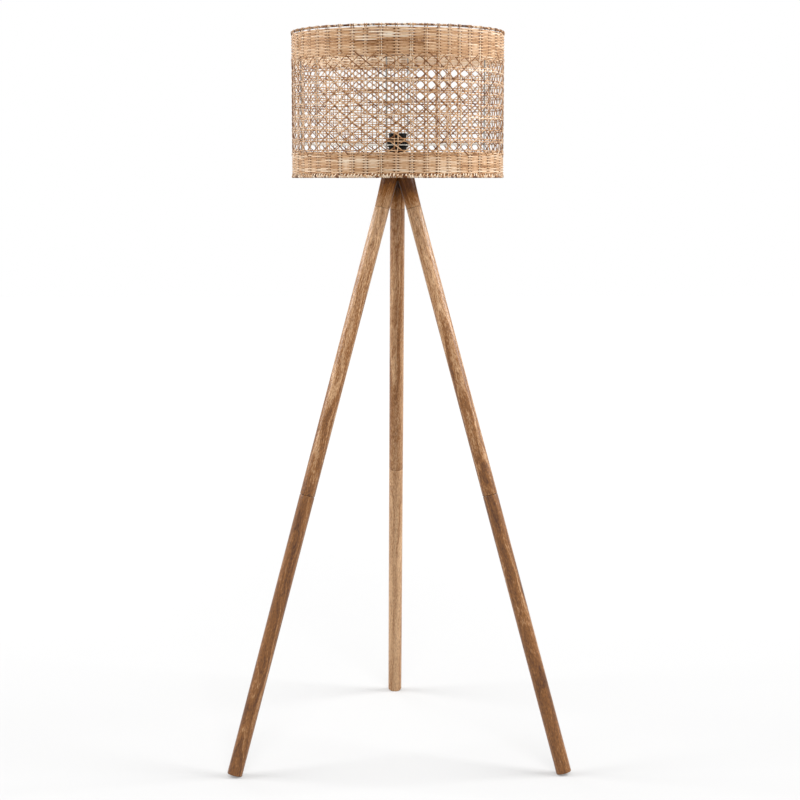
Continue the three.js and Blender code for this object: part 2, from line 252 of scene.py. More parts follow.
def strand_values(paths, tone, inner=None):
    """Three numbers for each point of a swept strand: its tone, the length run along the path,
    as the sum of the steps between stations, and the section's x from -1 to 1. The inner face,
    where the cane was split, is paler than the skin unless its own tone is given."""
    step = np.linalg.norm(np.diff(paths, axis=1, prepend=paths[:, :1]), axis=-1)
    run = np.cumsum(step, axis=1)
    shape = (*paths.shape[:2], len(FLAT_SECTION))
    outer = np.broadcast_to(tone, paths.shape[:2])
    inner = outer + 0.1 if inner is None else inner
    tones = np.where(FLAT_SECTION[:, 1] < 0, inner[..., None], outer[..., None])
    across = np.broadcast_to(FLAT_SECTION[:, 0], shape)
    return np.stack([tones, np.broadcast_to(run[..., None], shape), across], -1)


def outline(levels, *points):
    """A profile of (radius, height) in metres. Each point is given as its radius, the number of
    a level and its height above that level, the two lengths in millimetres."""
    radius, level, above = np.array(points, float).T
    return np.stack([radius * MM, np.array(levels)[level.astype(int)] + above * MM], 1)


def eased(profile, radius, closed=False, steps=5):
    """Rounds a profile's corners. Each corner gives way to the parabola from a point on the
    side before it, through the corner's pull, to a point on the side after it."""
    points = np.array(profile, float)
    back, ahead = np.roll(points, 1, 0) - points, np.roll(points, -1, 0) - points
    back_length = np.linalg.norm(back, axis=1)
    ahead_length = np.linalg.norm(ahead, axis=1)
    reach = np.minimum(radius, 0.45 * np.minimum(back_length, ahead_length))[:, None]
    start = points + back / back_length[:, None] * reach
    stop = points + ahead / ahead_length[:, None] * reach
    t = np.linspace(0, 1, steps)[None, :, None]
    pull = 2 * t * (1 - t) * points[:, None]
    curve = (1 - t) ** 2 * start[:, None] + pull + t**2 * stop[:, None]
    if closed:
        return curve.reshape(-1, 2)
    return np.concatenate([points[:1], curve[1:-1].reshape(-1, 2), points[-1:]])


def denser(profile, step):
    """Adds points along a profile's straight runs, so that none is longer than the step."""
    profile = np.asarray(profile, float)
    lengths = np.linalg.norm(np.diff(profile, axis=0), axis=1)
    run = np.concatenate([[0], np.cumsum(lengths)])
    extra = np.linspace(0, run[-1], max(2, int(run[-1] / step)))
    at = np.unique(np.concatenate([run, extra]).round(7))
    return np.stack([np.interp(at, run, profile[:, 0]), np.interp(at, run, profile[:, 1])], 1)


def turned(profile, corners, relief=None, centre=AXIS):
    """Revolves a profile of (radius, z) about the vertical through the centre, with the angle
    running backwards so that faces point out of a profile that runs up its outside. The relief,
    a function of angle, z and radius, is added to the radius."""
    profile = np.asarray(profile, float)
    angle = -np.arange(corners) / corners * TURN
    radius = profile[:, :1] + np.zeros_like(angle)
    height = profile[:, 1:] + np.zeros_like(angle)
    if relief:
        radius = radius + relief(angle[None, :], height, profile[:, :1])
    x, y = centre[0] + radius * np.cos(angle), centre[1] + radius * np.sin(angle)
    return np.stack([x, y, height], -1)[None]


def square_ring(node, inside, outside):
    """The outline of a flat ring as high as its CAD node, by its two radii in millimetres."""
    return outline(
        ends(node), (inside, 0, 0), (outside, 0, 0), (outside, 1, 0), (inside, 1, 0)
    )


def turned_ring(profile, ease, corners, step=0, relief=None):
    """A closed ring turned from a closed profile, its corners eased and points added at the
    step. Ease and step are in millimetres."""
    profile = eased(profile, ease * MM, closed=True)
    if step:
        profile = denser(np.concatenate([profile, profile[:1]]), step * MM)[:-1]
    return skin(turned(profile, corners, relief), closed=True)


def thread(angle, height, pitch):
    """How far a point lies from a helix, as the triangle wave
    |2 * fraction(height / pitch - angle / turn) - 1|."""
    return np.abs(2 * ((height / pitch - angle / TURN) % 1) - 1)


def round_thread(angle, height, pitch):
    """The wave cos(turn * (height / pitch - angle / turn)) along a helix, lowered by 1."""
    return np.cos(TURN * (height / pitch - angle / TURN)) - 1


def skin_faces(shape, closed):
    """Four-cornered faces over a skin, and at an open strand's two ends a fan of them."""
    strands, stations, corners = shape
    index = np.arange(strands * stations * corners).reshape(shape)
    here = index if closed else index[:, :-1]
    there = np.roll(index, -1, 1) if closed else index[:, 1:]
    sides = np.stack([here, there, np.roll(there, -1, 2), np.roll(here, -1, 2)], -1)
    sides = sides.reshape(-1, 4)
    if closed:
        return sides
    fan = np.arange(0, corners - 2, 2)
    fan = np.stack([0 * fan, fan + 1, fan + 2, fan + 3], 1)
    starts = index[:, 0][:, fan].reshape(-1, 4)
    stops = index[:, -1][:, fan[:, ::-1]].reshape(-1, 4)
    return np.concatenate([sides, starts, stops])


def skin(points, closed=False, values=None):
    """A skin's points, whether its strands are closed rings, and three values for each point."""
    return {"points": points, "closed": closed, "values": values}


def strand_skin(paths, outward, half_width, half_thickness, tone, inner=None, closed=False):
    """Flat strands swept along paths, with their values."""
    points = swept(paths, outward, half_width, half_thickness, closed=closed)
    return skin(points, closed, strand_values(paths, tone, inner))


def mesh_of(name, skins, attribute="strand"):
    """One mesh of all the skins, with their values as a vector attribute of its points."""
    corners = np.concatenate([s["points"].reshape(-1, 3) for s in skins])
    faces, start = [], 0
    for s in skins:
        faces.append(skin_faces(s["points"].shape[:3], s["closed"]) + start)
        start += s["points"].size // 3
    faces = np.concatenate(faces)
    mesh = bpy.data.meshes.new(name)
    mesh.vertices.add(len(corners))
    mesh.vertices.foreach_set("co", corners.astype(np.float32).ravel())
    mesh.loops.add(faces.size)
    mesh.loops.foreach_set("vertex_index", faces.astype(np.int32).ravel())
    mesh.polygons.add(len(faces))
    mesh.polygons.foreach_set("loop_start", np.arange(0, faces.size, 4, dtype=np.int32))
    mesh.polygons.foreach_set("use_smooth", np.ones(len(faces), bool))
    mesh.update(calc_edges=True)
    if all(s["values"] is not None for s in skins):
        values = np.concatenate([s["values"].reshape(-1, 3) for s in skins])
        layer = mesh.attributes.new(attribute, "FLOAT_VECTOR", "POINT")
        layer.data.foreach_set("vector", values.astype(np.float32).ravel())
    return mesh


def linked(name, data):
    """A new object of the data, in the scene."""
    made = bpy.data.objects.new(name, data)
    bpy.context.scene.collection.objects.link(made)
    return made


def place(name, mesh, nodes, material, sharp=None):
    """Puts a mesh in the scene as a piece that stands for CAD nodes and rides on their body.
    Edges that turn by more than the sharp angle, in degrees, are shaded sharp."""
    if sharp is not None:
        mesh.set_sharp_from_angle(angle=math.radians(sharp))
    piece = linked(name, mesh)
    mesh.materials.append(material)
    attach(piece, BODY_OF[nodes[0]])
    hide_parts(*nodes)


def stand_in(node, name, part, slot, sharp=40):
    """A piece of one skin that stands for one CAD node, in its slot's plain finish."""
    place(name, mesh_of(name, [part]), [node], finish(slot), sharp)


# Materials.


def add(tree, kind, feeds=(), stops=(), **settings):
    """Adds a node, sets its properties and its colour stops, and feeds its inputs, by name or
    in order, with values, sockets or the first outputs of nodes."""
    node = tree.nodes.new("ShaderNode" + kind)
    for key, value in settings.items():
        setattr(node, key, value)
    for position, (at, value) in enumerate(stops):
        elements = node.color_ramp.elements
        element = elements[position] if position < 2 else elements.new(at)
        element.position, element.color = at, value
    for key, value in (feeds if isinstance(feeds, dict) else dict(enumerate(feeds))).items():
        if isinstance(value, bpy.types.Node):
            value = value.outputs[0]
        if isinstance(value, bpy.types.NodeSocket):
            tree.links.new(value, node.inputs[key])
        else:
            node.inputs[key].default_value = value
    return node


def blank_material(name):
    """A new material with an empty tree, and what adds nodes to that tree."""
    made = bpy.data.materials.new(name)
    made.use_nodes = True
    made.node_tree.nodes.clear()
    return made, functools.partial(add, made.node_tree)


def split_cane(settings):
    """Split rattan cane, hand woven and left natural. Each strand has its own tone, fine fibres
    run along it, its edges are painted darker as the shade along each strand's sides, and the skin has a soft
    sheen."""
    name = "split_rattan_cane_woven"
    if name in bpy.data.materials:
        return bpy.data.materials[name]
    made, new = blank_material(name)
    strand = new("Attribute", attribute_name="strand", attribute_type="GEOMETRY")
    tone, run, across = new("SeparateXYZ", [strand.outputs["Vector"]]).outputs
    own = new("Math", (tone, 913.0), operation="MULTIPLY")
    # Fibres about 0.4 mm wide and 50 mm long, and slow drifts of tone about 110 mm long.
    fibre_run = new("Math", (run, 20.0), operation="MULTIPLY")
    fibre_across = new("Math", (across, 2.6), operation="MULTIPLY")
    fibre_at = new("CombineXYZ", (own, fibre_run, fibre_across))
    fibre = new(
        "TexNoise", {"Vector": fibre_at, "Scale": 1.0, "Detail": 3.0, "Roughness": 0.6}
    )
    drift_run = new("Math", (run, 9.0), operation="MULTIPLY")
    drift_at = new("CombineXYZ", (own, drift_run))
    drift = new("TexNoise", {"Vector": drift_at, "Scale": 1.0, "Detail": 1.0})
    shade = new("Math", (fibre, 0.38, -0.19), operation="MULTIPLY_ADD")
    shade = new("Math", (shade, tone), operation="ADD")
    slow = new("Math", (drift, 0.7, -0.35), operation="MULTIPLY_ADD")
    shade = new("Math", (shade, slow), operation="ADD", use_clamp=True)
    stops = (
        (0.0, colour("#3a1e0a")),
        (1.0, settings.pale),
        (0.13, settings.dark),
        (0.3, colour("#a67b53")),
        (0.5, settings.tan),
        (0.74, colour("#e2c5a6")),
    )
    tint = new("ValToRGB", [shade], stops)
    # Painted shade: the strand darkens towards both edges, as the shadow lines between strands.
    edge = new("Math", [across], operation="ABSOLUTE")
    edge = new("Math", (edge, 2.0), operation="POWER")
    edge = new("Math", (edge, 0.7), operation="MULTIPLY")
    tint = new("MixRGB", (edge, tint, settings.dark))
    bump = new("Bump", {"Height": fibre, "Strength": 0.5, "Distance": 0.25 * MM})
    surface = {"Base Color": tint, "Roughness": 0.5, "Specular IOR Level": 0.2, "Normal": bump}
    new("OutputMaterial", [new("BsdfPrincipled", surface)])
    return made


def oiled_wood(name, settings, depth, figure, rise, start, span, specular=0.42):
    """Mango wood, turned and oiled. Growth rings round a pith outside the dowel show as wavy
    arches along it, with fine fibres and short dark pores. Depth is the middle tone from dark 0
    to pale 1, figure how strongly rings and flecks show, and rise how much paler the wood is painted
    over a span along the leg, as the square of the way run up from its start: painted light and
    shade, such as a highlight near a leg's top or the shade's shadow on the hub."""
    made, new = blank_material(name)
    at = new("Attribute", attribute_name="grain", attribute_type="GEOMETRY").outputs["Vector"]
    # Noises with their scales across and along the grain, per metre, detail and roughness. The
    # fibres, 3 mm wide, and the pores, 1 mm, are drawn wider than real ones, so that they show.
    noises = []
    for across, along, detail, roughness in (
        (26.0, 7.0, 2.0, 0.45),
        (330.0, 8.0, 2.0, 0.6),
        (620.0, 0.8 / settings.pore, 1.0, 0.6),
        (1000.0, 0.5 / settings.pore, 1.0, 0.5),
        (55.0, 5.0, 2.0, 0.5),
    ):
        scaled = new("VectorMath", (at, (across, across, along)), operation="MULTIPLY")
        feeds = {"Vector": scaled, "Scale": 1.0, "Detail": detail, "Roughness": roughness}
        noises.append(new("TexNoise", feeds))
    bend, fibres, flecks, pores, patch = noises
    # The log's slow bends, about 90 mm long, push the rings about by a few millimetres.
    middle = (0.5, 0.5, 0.5)
    shift = new("VectorMath", (bend.outputs["Color"], middle), operation="SUBTRACT")
    shift = new("VectorMath", {0: shift, "Scale": 0.030 * figure}, operation="SCALE")
    moved = new("VectorMath", (at, shift), operation="ADD")
    x, y, z = new("SeparateXYZ", [moved]).outputs
    flat = new("CombineXYZ", (x, y))
    radius = new("VectorMath", [flat], operation="LENGTH").outputs["Value"]
    ring = new("Math", (radius, settings.ring), operation="DIVIDE")
    slide = new("Math", (z, 1.6), operation="MULTIPLY")
    ring_at = new("CombineXYZ", {"X": ring, "Z": slide})
    rings = new(
        "TexNoise", {"Vector": ring_at, "Scale": 1.0, "Detail": 4.0, "Roughness": 0.68}
    )
    # Painted light and shade: the tone changes with the square of the way along the span, by the rise.
    height = new("SeparateXYZ", [at]).outputs["Z"]
    way = new("MapRange", {"Value": height, "From Min": start, "From Max": start + span})
    way = new("Math", (way, way), operation="MULTIPLY")
    tone = new("Math", (way, rise, depth), operation="MULTIPLY_ADD")
    shares = ((rings, 1.7 * figure), (fibres, 0.36), (flecks, 0.9 * figure), (patch, 0.45))
    for source, amount in shares:
        part = new("Math", (source, 0.5), operation="SUBTRACT")
        tone = new("Math", (part, amount, tone), operation="MULTIPLY_ADD")
    tint = new(
        "ValToRGB", [tone], ((0.0, settings.dark), (1.0, settings.pale), (0.4, settings.mid))
    )
    pore_mask = new(
        "MapRange", {"Value": pores, "From Min": 0.60, "From Max": 0.70, "To Max": 0.8 * figure}
    )
    tint = new("MixRGB", (pore_mask, tint, colour("#4d2a10")))
    relief = new("Math", (fibres, 0.5), operation="MULTIPLY")
    relief = new("Math", (relief, pore_mask), operation="SUBTRACT")
    bump = new("Bump", {"Height": relief, "Strength": 0.4, "Distance": 0.3 * MM})
    rough = new(
        "MapRange",
        {"Value": patch, "From Min": 0.3, "From Max": 0.7, "To Min": 0.26, "To Max": 0.38},
    )
    surface = {
        "Base Color": tint, "Roughness": rough, "Specular IOR Level": specular, "Normal": bump
    }
    new("OutputMaterial", [new("BsdfPrincipled", surface)])
    return made


# Plain finishes by slot: name, worn colour, roughness, metallic and specular level.
FINISHES = {
    # Drawn steel wire, lacquered white: a slightly yellowed gloss with a few dull spots.
    "white_wire": ("steel_wire_white_lacquered", "#c8c2b4", 0.38, 0.0, 0.5),
    # Drawn steel wire, left bare: dull grey with darker scale.
    "dark_wire": ("steel_wire_drawn_bare", "#6f6a62", 0.55, 0.0, 0.3),
    # Mild steel, zinc plated and passivated: bright grey with a faint warm bloom.
    "zinc_steel": ("mild_steel_zinc_plated", "#a9a595", 0.34, 1.0, 0.5),
    # Brass, pressed or turned: warm yellow metal with browner tarnish in patches.
    "brass": ("brass_turned", "#97743a", 0.33, 1.0, 0.5),
    # Phenolic resin, compression moulded in black: near black with a low even sheen.
    "black_resin": ("phenolic_resin_moulded_black", "#0b0908", 0.5, 0.0, 0.12),
    # Steatite porcelain, pressed, fired and glazed: warm white and glossy.
    "porcelain": ("steatite_porcelain_glazed", "#dcd6c8", 0.22, 0.0, 0.5),
}
# The finest grit that shows, coarser than the real one.
GRIT = 0.8 * MM


def finish(slot):
    """A slot's coated, plated or moulded surface, made at its first use: its colour drifts to a
    worn one in patches about 11 mm wide, and a fine grit breaks its shine."""
    name, worn, roughness, metallic, specular = FINISHES[slot]
    if name in bpy.data.materials:
        return bpy.data.materials[name]
    made, new = blank_material(name)
    at = new("TexCoord").outputs["Object"]
    patch = new("TexNoise", {"Vector": at, "Scale": 90.0, "Detail": 4.0, "Roughness": 0.6})
    grit = new("TexNoise", {"Vector": at, "Scale": 1 / GRIT, "Detail": 2.0})
    amount = new("MapRange", {"Value": patch, "From Min": 0.45, "From Max": 0.75})
    base = getattr(bpy.context.scene.lamp_finishes, slot)
    shine = {"To Min": roughness - 0.07, "To Max": roughness + 0.1}
    surface = {
        "Base Color": new("MixRGB", (amount, base, colour(worn))),
        "Metallic": metallic,
        "Specular IOR Level": specular,
        "Roughness": new("MapRange", {"Value": grit, "From Min": 0.3, "From Max": 0.7, **shine}),
        "Normal": new("Bump", {"Height": grit, "Strength": 0.4, "Distance": 0.04 * MM}),
    }
    new("OutputMaterial", [new("BsdfPrincipled", surface)])
    return made


# Wooden pieces.


def leg_axes(joint):
    """A leg joint's place and three square directions there: outward across the leg in the
    plane that holds the lamp's axis, sideways, and up along the leg."""
    origin = np.array(JOINTS[joint]["pos_m"])
    up = -unit(np.array(JOINTS[joint]["axis"]))
    sideways = unit(np.cross(UP, up))
    return origin, np.cross(sideways, up), sideways, up


def in_leg(joint, ring):
    """Points given in a leg's own frame, put in their place: the joint's origin + x * outward
    + y * sideways + z * up."""
    origin, outward, sideways, up = leg_axes(joint)
    return origin + ring[..., :1] * outward + ring[..., 1:2] * sideways + ring[..., 2:] * up


def dowel(joint, profile, corners, pith=(0, 0), tilt=(0, 0)):
    """A turned length of wood. Its profile of (radius, distance up the leg) is revolved about the
    leg's axis. The grain values are the same points in the leg's own frame, moved off by the
    pith's place and leant by the tilt, so that the growth rings cut the surface as arches."""
    ring = turned(profile, corners, centre=(0.0, 0.0))
    points = in_leg(joint, ring)
    points[..., 2] = np.maximum(points[..., 2], 0.0)
    grain = ring.copy()
    grain[..., :2] += pith + np.array(tilt) * ring[..., 2:]
    return skin(points, values=grain)


class LAMP_OT_legs(bpy.types.Operator):
    """Three legs, each of an upper and a lower length that meet at a fine seam"""

    bl_idname = "lamp.legs"
    bl_label = "Legs"

    def execute(self, context):
        wood = context.scene.lamp_wood
        ease, foot_ease = 1.5 * MM, 2.5 * MM
        # Half of each seam, in millimetres.
        gap = 0.25
        # Each side's pith in millimetres and its lean, and the tone, figure and rise of its
        # upper and of its lower length, the rise being painted light and shade along the length. The
        # lower lengths were cut nearer to the pith, each to its own share.
        timbers = {
            "left": ((-26, -14), (0.030, 0.016), (0.365, 1.0, 0.36), (0.29, 0.85, 0.0)),
            "right": ((-12, 22), (0.0144, -0.026), (0.41, 1.0, 0.29), (0.33, 0.9, -0.1)),
            "back": ((26, -24), (0.02, -0.03), (0.52, 0.8, -0.06), (0.66, 0.75, 0.0)),
        }
        for index, (side, (pith, tilt, *looks)) in enumerate(timbers.items()):
            joints = [f"upper_leg_screw_{side}", f"lower_leg_screw_{side}"]
            seam, middle = (np.array(JOINTS[joint]["pos_m"]) for joint in joints)
            reach = np.linalg.norm(seam - middle)
            # The foot's rounded inner edge is rubbed flat where it stands.
            lean = -JOINTS[joints[1]]["axis"][2]
            slope = math.sqrt(1 - lean**2) / lean
            end = middle[2] / lean - (LEG * MM - foot_ease) * slope + 0.5 * MM
            top = (LEG, 1, -gap), (PIN, 1, -gap)
            upper = outline((-reach, 0), (PIN, 0, gap), (LEG, 0, gap), *top)
            lower = outline((-end, 0), (PIN, 0, 0), (LEG, 0, 0), *top)
            foot = eased(lower[:3], foot_ease, steps=9)[:-1]
            lower = np.concatenate([foot, eased(lower[1:], ease)[1:]])
            lengths = (
                ("upper", eased(upper, ease), reach, 1),
                ("lower", lower, end, 0.8 - 0.5 * index),
            )
            for (part, profile, far, share), joint, look in zip(lengths, joints, looks):
                node = f"{part}_leg_{side}"
                at = np.array(pith) * MM * share
                made = dowel(joint, denser(profile, 12 * MM), wood.sides, at, tilt)
                mesh = mesh_of(node + "_dowel", [made], "grain")
                material = oiled_wood(f"mango_wood_oiled_{part}_{side}", wood, *look, -far, far)
                place(node + "_dowel", mesh, [node], material, 35)
        return {"FINISHED"}


def worker(name, points):
    """A helper object that only cuts or joins, and is removed afterwards."""
    return linked(name, mesh_of(name, [skin(points)]))


def read(items, key, width=1, kind=np.float32):
    """One property of all of a mesh's items, as an array with a row for each."""
    values = np.empty(len(items) * width, kind)
    items.foreach_get(key, values)
    return values if width == 1 else values.reshape(-1, width)


class LAMP_OT_hub(bpy.types.Operator):
    """The hub: three swelling stubs that grow into one another, bored for the nipple"""

    bl_idname = "lamp.hub"
    bl_label = "Hub"

    def execute(self, context):
        wood = context.scene.lamp_wood
        low, top = ends("hub")
        helpers = []
        for side in SIDES:
            joint = f"upper_leg_screw_{side}"
            origin, _, _, up = leg_axes(joint)
            rise = (top - origin[2]) / up[2]
            foot = (PIN, 0, 0.15), (LEG, 0, 0.15)
            swell = (16.6, 1, 0), (19, 2, 0), (19, 2, 12), (PIN, 2, 12)
            stub = eased(outline((0, 0.3 * rise, rise), *foot, *swell), 1.0 * MM)
            stub = dowel(joint, denser(stub, 6 * MM), wood.sides)
            helpers.append(worker("stub_" + side, stub["points"]))
        levels = (low, top - 21 * MM, top)
        skirt = (PIN, 0, -20), (90, 0, -20), (90, 1, 0)
        crown = (31, 2, -8), (23, 2, 0), (PIN, 2, 0)
        envelope = eased(outline(levels, *skirt, *crown), 2 * MM)
        bore = outline(levels, (NIPPLE_HOLE, 0, -30), (NIPPLE_HOLE, 2, 20))
        pocket = outline(levels, (12, 0, -30), (12, 1, 0))
        helpers.append(worker("hub_envelope", turned(envelope, 96)))
        helpers.append(worker("hub_bore", turned(bore, 48)))
        helpers.append(worker("hub_pocket", turned(pocket, 64)))
        operations = ("UNION", "UNION", "INTERSECT", "DIFFERENCE", "DIFFERENCE")
        for helper, operation in zip(helpers[1:], operations):
            modifier = helpers[0].modifiers.new(operation.title(), "BOOLEAN")
            modifier.operation, modifier.solver, modifier.object = operation, "EXACT", helper
        graph = bpy.context.evaluated_depsgraph_get()
        mesh = bpy.data.meshes.new_from_object(helpers[0].evaluated_get(graph))
        for helper in helpers:
            bpy.data.objects.remove(helper)
        if not mesh.polygons:
            raise RuntimeError("joining and cutting the hub's stubs left nothing")
        mesh.materials.clear()
        mesh.name = "hub_turned"
        mesh.polygons.foreach_set("use_smooth", np.ones(len(mesh.polygons), bool))
        self.lay_grain(mesh)
        # The negative rise paints the hub darker towards its top: painted shadow of the shade.
        look = {"depth": 0.64, "figure": 0.7, "rise": -0.65, "start": 0.0, "span": 62 * MM}
        material = oiled_wood("mango_wood_oiled_hub", wood, **look, specular=0.16)
        place("hub_turned", mesh, ["hub"], material, 32)
        return {"FINISHED"}

    def lay_grain(self, mesh):
        """Each face belongs to the stub whose side of the axis its middle lies on, and its
        corners' grain values are their places in that stub's frame, off the pith."""
        places = read(mesh.vertices, "co", 3)[read(mesh.loops, "vertex_index", kind=np.int32)]
        totals = read(mesh.polygons, "loop_total", kind=np.int32)
        middles = np.repeat(read(mesh.polygons, "center", 3), totals, axis=0)
        frames = [leg_axes(f"upper_leg_screw_{side}") for side in SIDES]
        ways = np.array([origin[:2] - AXIS for origin, *_ in frames])
        owner = ((middles[:, :2] - AXIS) @ ways.T).argmax(1)
        grain = np.zeros_like(places)
        piths = np.array([[30, 14, 2], [-26, 20, 18], [22, -26, 12]]) * MM
        for index, (origin, *directions) in enumerate(frames):
            local = np.stack([(places - origin) @ d for d in directions], 1) + piths[index]
            grain[owner == index] = local[owner == index]
        layer = mesh.attributes.new("grain", "FLOAT_VECTOR", "CORNER")
        layer.data.foreach_set("vector", grain.astype(np.float32).ravel())


# Metal, resin and porcelain pieces.


class LAMP_OT_fixings(bpy.types.Operator):
    """Bolts, inserts, washers, nut and threaded nipple"""

    bl_idname = "lamp.fixings"
    bl_label = "Fixings"

    def execute(self, context):
        for side in SIDES:
            screws = [f"upper_leg_screw_{side}", f"lower_leg_screw_{side}"]
            for joint in screws:
                self.hanger_bolt(joint.replace("screw", "bolt"), joint)
            for part, joint in zip(("hub", "mid_leg"), screws):
                self.threaded_insert(f"{part}_insert_{side}", joint)
        for node in ("lower_washer", "upper_washer"):
            ring = turned_ring(square_ring(node, NIPPLE_HOLE, 10), 0.3, 64)
            stand_in(node, node + "_pressed", ring, "zinc_steel")
        self.nipple()
        self.nut()
        return {"FINISHED"}

    def hanger_bolt(self, node, joint):
        """A rod whose radius falls with the distance from a helix: a coarse thread below its
        middle and a fine one above, both faded out at the tips and near the middle."""

        def relief(angle, height, radius):
            pitch = np.where(height < 0, 3.0 * MM, 1.25 * MM)
            deep = np.where(height < 0, 0.8 * MM, 0.4 * MM)
            tips = grown(within(height, -30 * MM, 22 * MM), 2 * MM)
            middle = grown(np.abs(height + 1 * MM) - 2 * MM, 1 * MM)
            return -deep * thread(angle, height, pitch) * middle * tips * (radius > 3 * MM)

        rod = [(PIN, -30), (2.6, -30), (4, -26), (4, 21.4), (3.4, 22), (PIN, 22)]
        ring = turned(denser(np.array(rod) * MM, 0.5 * MM), 24, relief, centre=(0.0, 0.0))
        stand_in(node, node + "_threaded", skin(in_leg(joint, ring)), "zinc_steel")

    def threaded_insert(self, node, joint):
        """A sleeve whose outer radius falls with the distance from a helix, as a knife thread."""

        def relief(angle, height, radius):
            knife = np.clip(thread(angle, height, 2.5 * MM) * 1.6 - 0.4, 0, 1)
            return -0.9 * MM * knife * (radius > 5.9 * MM)

        wall = np.array([(6, 0.15), (6, 25), (4.35, 25), (4.35, 0.15)]) * MM
        wall = np.concatenate([denser(wall[:2], 0.5 * MM), denser(wall[2:], 2 * MM)])
        ring = in_leg(joint, turned(wall, 32, relief, centre=(0.0, 0.0)))
        stand_in(node, node + "_threaded", skin(ring, closed=True), "brass")

    def nipple(self):
        """A tube with a fine thread: its outer radius falls with the distance from a helix."""
        levels = ends("threaded_nipple")

        def relief(angle, height, radius):
            return -0.5 * MM * thread(angle, height, 1.0 * MM) * (radius > 4.6 * MM)

        outer = outline(levels, (4.7, 0, 0), (5, 0, 0.5), (5, 1, -0.5), (4.7, 1, 0))
        inner = outline(levels, (3.7, 1, 0), (3.7, 0, 0))
        tube = turned(np.concatenate([denser(outer, 0.25 * MM), inner]), 40, relief)
        stand_in("threaded_nipple", "nipple_threaded", skin(tube, closed=True), "zinc_steel")

    def nut(self):
        """A hexagon: at each angle the radius is the flat's distance over the cosine of the angle
        from the flat's middle, and never more than the chamfer's cone."""
        low, high = ends("nipple_nut")

        def relief(angle, height, radius):
            off = (angle + TURN / 12) % (TURN / 6) - TURN / 12
            flat = 7 * MM / np.cos(off)
            cone = 7.3 * MM + within(height, low, high) * 1.7
            return np.where(radius > 6.5 * MM, np.minimum(flat, cone) - radius, 0)

        outer = denser(outline((low, high), (7, 0, 0), (7, 1, 0)), 0.2 * MM)
        inner = outline((low, high), (NIPPLE_HOLE, 1, 0), (NIPPLE_HOLE, 0, 0))
        ring = turned(np.concatenate([outer, inner]), 96, relief)
        stand_in("nipple_nut", "nut_hexagon", skin(ring, closed=True), "zinc_steel", 30)


class LAMP_OT_lampholder(bpy.types.Operator):
    """Lampholder: cap, threaded skirt with shoulder, core, screw shell, contact and clamp ring"""

    bl_idname = "lamp.lampholder"
    bl_label = "Lampholder"

    def execute(self, context):
        settings = context.scene.lamp_holder
        self.cap()
        self.skirt(settings.thread_pitch)
        self.clamp_ring(settings.flutes)
        wall = (16.7, 0, 0), (16.7, 1, 0), (14.5, 1, 0), (14.5, 0, 6)
        core = outline(ends("lampholder_core"), (PIN, 0, 0), *wall, (PIN, 0, 6))
        core = turned(eased(core, 0.6 * MM), 96)
        stand_in("lampholder_core", "core_pressed", skin(core), "porcelain")
        self.shell(settings.shell_pitch)
        wall = (3.5, 0, 0), (3.5, 1, -0.8), (1.5, 1, 0)
        dome = outline(ends("centre_contact"), (0.2, 0, 0), *wall, (0.2, 1, 0))
        dome = turned(eased(dome, 0.6 * MM), 48)
        stand_in("centre_contact", "contact_domed", skin(dome), "brass")
        return {"FINISHED"}

    def cap(self):
        low, high = ends("lampholder_cap")

        def relief(angle, height, radius):
            """Sixty low ribs, a cosine of the angle, on the upper part of the wall."""
            part = grown(height - low - 9 * MM, 1 * MM) * grown(high - 2 * MM - height, 1 * MM)
            return 0.25 * MM * (np.cos(60 * angle) - 1) * part * (radius > 18.5 * MM)

        outside = (NIPPLE_HOLE, 0, 0), (13.5, 0, 0), (HOLDER, 0, 7), (HOLDER, 1, 0)
        inside = (HOLDER_INSIDE, 1, 0), (HOLDER_INSIDE, 0, 7), (11.5, 0, 3), (NIPPLE_HOLE, 0, 3)
        ring = turned_ring(outline((low, high), *outside, *inside), 1.6, 240, 1, relief)
        stand_in("lampholder_cap", "cap_moulded", ring, "black_resin")

    def skirt(self, pitch):
        low, high = ends("lampholder_skirt")
        seat = ends("fitter_ring")[0] - 0.3 * MM

        def relief(angle, height, radius):
            """Round thread above the seat, faded out at both ends."""
            start = grown(height - seat - 1.5 * MM, 1.5 * MM)
            part = start * grown(high - 2 * MM - height, 1 * MM)
            outer = np.abs(radius - HOLDER * MM) < 0.2 * MM
            return 0.45 * MM * round_thread(angle, height, pitch) * part * outer

        shoulder = (HOLDER, 1, -3), (22.3, 1, -3), (22.3, 1, 0), (HOLDER, 1, 0)
        lower = (HOLDER_INSIDE, 0, 0), (HOLDER, 0, 0)
        upper = (HOLDER, 2, 0), (HOLDER_INSIDE, 2, 0)
        profile = outline((low, seat, high), *lower, *shoulder, *upper)
        ring = turned_ring(profile, 0.5, 144, 0.4, relief)
        stand_in("lampholder_skirt", "skirt_moulded", ring, "black_resin")

    def clamp_ring(self, flutes):
        low, high = ends("clamp_ring")

        def relief(angle, height, radius):
            """Grip flutes: the outer radius dips by 1 less the rectified sine of the angle."""
            middle = grown(within(height, low, high), 1.2 * MM)
            dip = 1 - np.abs(np.sin(flutes * angle / 2))
            return -0.8 * MM * dip * middle * (radius > 22 * MM)

        ring = turned_ring(square_ring("clamp_ring", 19.65, 23), 0.7, 300, 0.7, relief)
        stand_in("clamp_ring", "clamp_ring_fluted", ring, "black_resin")

    def shell(self, pitch):
        low, high = ends("socket_shell")

        def relief(angle, height, radius):
            """Rolled thread, the same wave on both faces of the thin wall, faded at the ends."""
            fade = grown(within(height, low, high), 1.5 * MM)
            return 0.35 * MM * round_thread(angle, height, pitch) * fade

        outer = denser(outline((low, high), (14.15, 0, 0), (14.15, 1, 0)), 0.5 * MM)
        inner = outer[::-1] - [0.35 * MM, 0]
        wall = turned(np.concatenate([outer, inner]), 96, relief)
        stand_in("socket_shell", "shell_rolled", skin(wall, closed=True), "brass")


# The shade.


